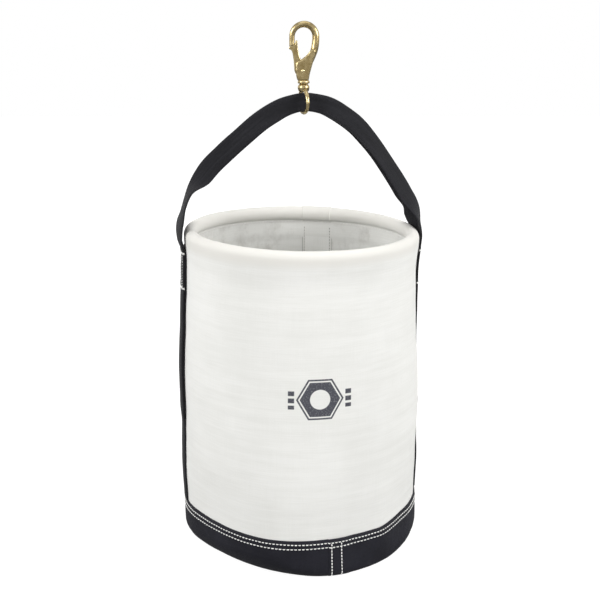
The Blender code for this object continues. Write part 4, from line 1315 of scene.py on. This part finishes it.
def make_eye():
    """The swivel eye: a flattish ring round the strap, a two-lobed boss, and the shank the hook turns on."""
    centre = Vector((HANG_X, 0, EYE_Z))
    across = Vector((-EYE_AXIS.y, EYE_AXIS.x, 0))
    sections = []
    for i in range(84):
        turn = TAU * i / 84
        out = across * math.cos(turn) + Vector((0, 0, math.sin(turn)))
        thick = 0.0023 + 0.0004 * max(0.0, math.sin(turn)) ** 3
        squeeze = max(0.0, -math.sin(turn)) ** 1.5
        middle = centre + out * (0.0154 - 0.0028 * squeeze + (thick - 0.0023))
        spokes = [TAU * k / 20 for k in range(20)]
        sections.append(
            [middle + out * math.cos(a) * thick + EYE_AXIS * math.sin(a) * thick * 1.05 for a in spokes]
        )
    ring = loft("eye_ring", sections, True)
    top = EYE_Z + 0.0131
    foot, head = COLLAR_Z - 0.0003, COLLAR_TOP + 0.0003
    boss = lathe(
        "eye_boss",
        [(0, top - 0.0006), (0.0046, top - 0.0005), (0.0066, top + 0.0014), (0.0074, top + 0.004)]
        + [(0.0075, top + 0.006), (0.0069, top + 0.008), (0.0054, foot), (0.0027, foot)]
        + [(0.0027, head), (0.0039, head), (0.0034, head + 0.0015), (0, head + 0.0021)],
        ON_HOOK,
    )
    eye = cast("eye_brass", [ring, boss], [], VOXEL, 4, BRASS)
    put(eye, "eye", "brass", "swivel_eye")


def gate_sweep(radius, first, last, count=9):
    """Points on the circle that the gate's tip follows, between two distances from the hook's middle."""
    points = []
    for x in np.linspace(first, last, count):
        off = x + HANG_X - GATE_PIVOT.x
        points.append((float(x), GATE_PIVOT.z + math.sqrt(radius**2 - off**2)))
    return points


def hook_line():
    """Place and radius along the loop, from inside the block, over the top and down to the nose."""
    rows = [
        (0.003, 0.62, 0.0048), (0.0068, 0.63, 0.0049), (0.0104, 0.6375, 0.0048),
        (0.0133, 0.645, 0.0047), (0.0147, 0.653, 0.0046),
    ]
    for i in range(0, 25):
        angle = math.pi * i / 24
        x, z = 0.0003 + 0.0147 * math.cos(angle), 0.6606 + 0.0146 * math.sin(angle)
        rows.append((x, z, 0.0045 - 0.001 * i / 24))
    rows += [(-0.0145, 0.656, 0.0035), (-0.0144, 0.647, 0.0035)]
    return curve_through(rows, 0.0012)


def make_hook():
    """The snap hook: collar, slotted shank block that flows into the loop, and the loop's blunt nose."""
    outline = [
        (-0.0078, COLLAR_TOP - 0.0005), (0.0064, COLLAR_TOP - 0.0005), (0.0076, 0.615), (0.0098, 0.623),
        (0.0118, 0.63), (0.0138, 0.637), (0.015, 0.644), (0.0112, 0.6462), (0.0078, 0.6436),
        (0.005, 0.6398), (0.0016, 0.6362), (-0.003, 0.6328), (-0.0074, 0.6312), (-0.0096, 0.6282),
        (-0.0099, 0.62), (-0.0092, 0.613),
    ]
    block = bevelled(slab("hook_block", outline, HOOK_HALF), 0.0018, 3)
    line = hook_line()
    loop = tube("hook_loop", [(x + HANG_X, 0, z) for x, z, _ in line], [r for _, _, r in line])
    collar = lathe(
        "hook_collar",
        [(0, COLLAR_Z), (COLLAR_RADIUS - 0.0012, COLLAR_Z), (COLLAR_RADIUS - 0.0002, COLLAR_Z + 0.0009)]
        + [(COLLAR_RADIUS, COLLAR_Z + 0.002), (COLLAR_RADIUS - 0.0002, COLLAR_TOP - 0.0012)]
        + [(COLLAR_RADIUS - 0.0012, COLLAR_TOP - 0.0003), (0, COLLAR_TOP)],
        ON_HOOK,
    )
    slot = [
        (-0.018, COLLAR_TOP + 0.0001), (0.003, COLLAR_TOP + 0.0001), (0.0034, 0.615), (0.0026, 0.6205),
        (0.0036, 0.629), (0.003, 0.6352), (-0.002, 0.642), (-0.018, 0.642),
    ]
    cuts = [slab("gate_slot", slot, 0.003)]
    cuts.append(lathe("head_pocket", rod(0.0044, COLLAR_TOP, 0.6122), ON_HOOK))
    cuts.append(lathe("shank_bore", rod(0.0031, COLLAR_Z - 0.002, COLLAR_TOP + 0.001), ON_HOOK))
    cuts.append(lathe("pin_bore", PIN_BORE, GATE_PIVOT, (0, 1, 0), 20))
    cuts.append(lathe("spring_pocket", rod(0.0024, -0.004, 0.0062), (HANG_X, 0, 0.6262), (1, 0, 0), 20))
    notch = [(0.006, -0.01), (0.006, 0.01), (-0.0024, 0.01), (-0.0024, -0.01)]
    notch = [(-0.0143 + x, 0.6462 + z * 0.8) for x, z in notch]
    face = gate_sweep(NOSE_SWEEP + 0.0003, -0.02, -0.0085) + [(-0.0085, 0.64), (-0.02, 0.64)]
    cuts += [slab("nose_face", face, 0.006), slab("nose_notch", notch, 0.0018)]
    hook = cast("hook_brass", [block, loop, collar], cuts, VOXEL, 5, BRASS)
    put(hook, "hook", "brass", "hook_body")


def make_gate():
    """The gate: a lever with a round knuckle, a ledge under the nose, and a tongue in the nose's notch."""
    outline = [
        (-0.0062, 0.6136), (-0.0024, 0.6138), (0.002, 0.6182), (0.0016, 0.6222), (-0.0024, 0.63),
        (-0.0056, 0.638), (-0.007, 0.645), (-0.0077, 0.6556), (-0.0102, 0.6563),
    ]
    outline += gate_sweep(NOSE_SWEEP, -0.0105, -0.0183)
    outline += [
        (-0.0182, 0.6456), (-0.015, 0.6437), (-0.0138, 0.6405), (-0.0126, 0.6334), (-0.012, 0.6262),
        (-0.0116, 0.62), (-0.0102, 0.6158),
    ]
    lever = bevelled(slab("gate_lever_body", outline, 0.0026), 0.0006, 2, 40)
    bore = lathe("knuckle_bore", PIN_BORE, GATE_PIVOT, (0, 1, 0), 20)
    tongue = [(-0.0104, 0.644), (-0.0104, 0.6533), (-0.0158, 0.6514), (-0.0158, 0.646)]
    gate = cast("gate_brass", [lever, slab("gate_tongue", tongue, 0.0013)], [bore], 0.00026, 3, BRASS)
    put(gate, "gate", "brass", "gate_lever")


def make_rivet():
    half = HOOK_HALF
    dome = [
        (0, -half - 0.0012), (0.0012, -half - 0.0011), (0.0021, -half - 0.0006), (0.0023, -half + 0.0001),
        (0.0015, -half + 0.0001),
    ]
    profile = dome + [(r, -y) for r, y in dome[::-1]]
    rivet = lathe("gate_rivet", profile, GATE_PIVOT, (0, 1, 0), 32, BRASS)
    rivet.data.shade_smooth()
    rivet.data.set_sharp_from_angle(angle=math.radians(50))
    put(rivet, "hook", "brass", "gate_pin")


# ---- the stage ----------------------------------------------------------------------------------------
def make_stage():
    mesh = bpy.data.meshes.new("studio_floor")
    size, depth = 6.0, -0.0004
    corners = [(-size, -size, depth), (size, -size, depth), (size, size, depth), (-size, size, depth)]
    mesh.from_pydata(corners, [], [(0, 1, 2, 3)])
    floor = into_scene("studio_floor", mesh)
    paint = Paint("pale_floor", roughness=0.95, Specular_IOR_Level=0.1)
    paint.shader.inputs["Base Color"].default_value = (0.28, 0.28, 0.28, 1)
    tree = paint.tree
    bright = paint.node("Emission", {"Color": (1, 1, 1, 1), "Strength": 0.9})
    seen = paint.node("AddShader", {0: bright.outputs[0], 1: paint.shader.outputs[0]})
    choice = paint.node("MixShader", {0: paint.node("LightPath").outputs["Is Camera Ray"]})
    tree.links.new(paint.shader.outputs[0], choice.inputs[1])
    tree.links.new(seen.outputs[0], choice.inputs[2])
    tree.links.new(choice.outputs[0], tree.nodes["Material Output"].inputs["Surface"])
    mesh.materials.append(paint.material)

    world = bpy.data.worlds.new("soft_studio")
    bpy.context.scene.world = world
    world.use_nodes = True
    tree = world.node_tree
    tree.nodes.clear()
    output = add_node(tree, "OutputWorld")
    seen = add_node(tree, "Background", {"Color": (1, 1, 1, 1), "Strength": 1.0})
    lit = add_node(tree, "Background")
    place = add_node(tree, "TexCoord")
    split = add_node(tree, "SeparateXYZ", {0: place.outputs["Generated"]})
    span = {"Value": split.outputs["Z"], "From Min": 0.1, "From Max": 0.95, "To Min": 1.13, "To Max": 0.68}
    ramp = add_node(tree, "MapRange", span, interpolation_type="SMOOTHSTEP")
    tree.links.new(ramp.outputs[0], lit.inputs["Strength"])
    choice = add_node(tree, "MixShader", {1: lit.outputs[0], 2: seen.outputs[0]})
    path = add_node(tree, "LightPath")
    tree.links.new(path.outputs["Is Camera Ray"], choice.inputs[0])
    tree.links.new(choice.outputs[0], output.inputs["Surface"])

    for name, place, energy, size in (
        ("left_softbox", (-1.8, -1.4, 1.3), 29.5, 1.1),
        ("right_softbox", (1.9, -1.0, 1.25), 29, 1.1),
        ("top_softbox", (0.1, -0.3, 2.3), 7, 1.4),
        ("rear_softbox", (-0.3, 2.4, 0.45), 9, 1.4),
    ):
        data = bpy.data.lights.new(name, "AREA")
        data.energy = energy
        data.shape = "DISK"
        data.size = size
        lamp = into_scene(name, data)
        lamp.location = place
        lamp.rotation_euler = (Vector(place) - Vector((0, 0, 0.3))).to_track_quat("Z", "Y").to_euler()
        lamp.visible_camera = False

    camera_data = bpy.data.cameras.new("camera")
    camera_data.lens = 59.73
    camera_data.sensor_width = 36.0
    camera_data.clip_end = 50
    camera = into_scene("camera", camera_data)
    camera.location = (0.0, -1.2719, 0.6814)
    camera.rotation_euler = (math.radians(74.23), 0, 0)
    bpy.context.scene.camera = camera
    bpy.context.scene.view_settings.view_transform = "Standard"


# ---- everything ---------------------------------------------------------------------------------------
make_stage()
wall = make_wall()
roll = make_roll()
tape = make_seam_tape()
floor_cloth = make_floor()
make_board()
make_hoop()
make_seam_stitches()
make_hem_stitches()
make_boot()
make_sole()
make_boot_stitches()
make_backing()
make_strap()
make_tacks()
make_eye()
make_hook()
make_gate()
make_rivet()
spring = frame["nodes"]["gate_spring"]
spring.data.materials.clear()
spring.data.materials.append(STEEL)
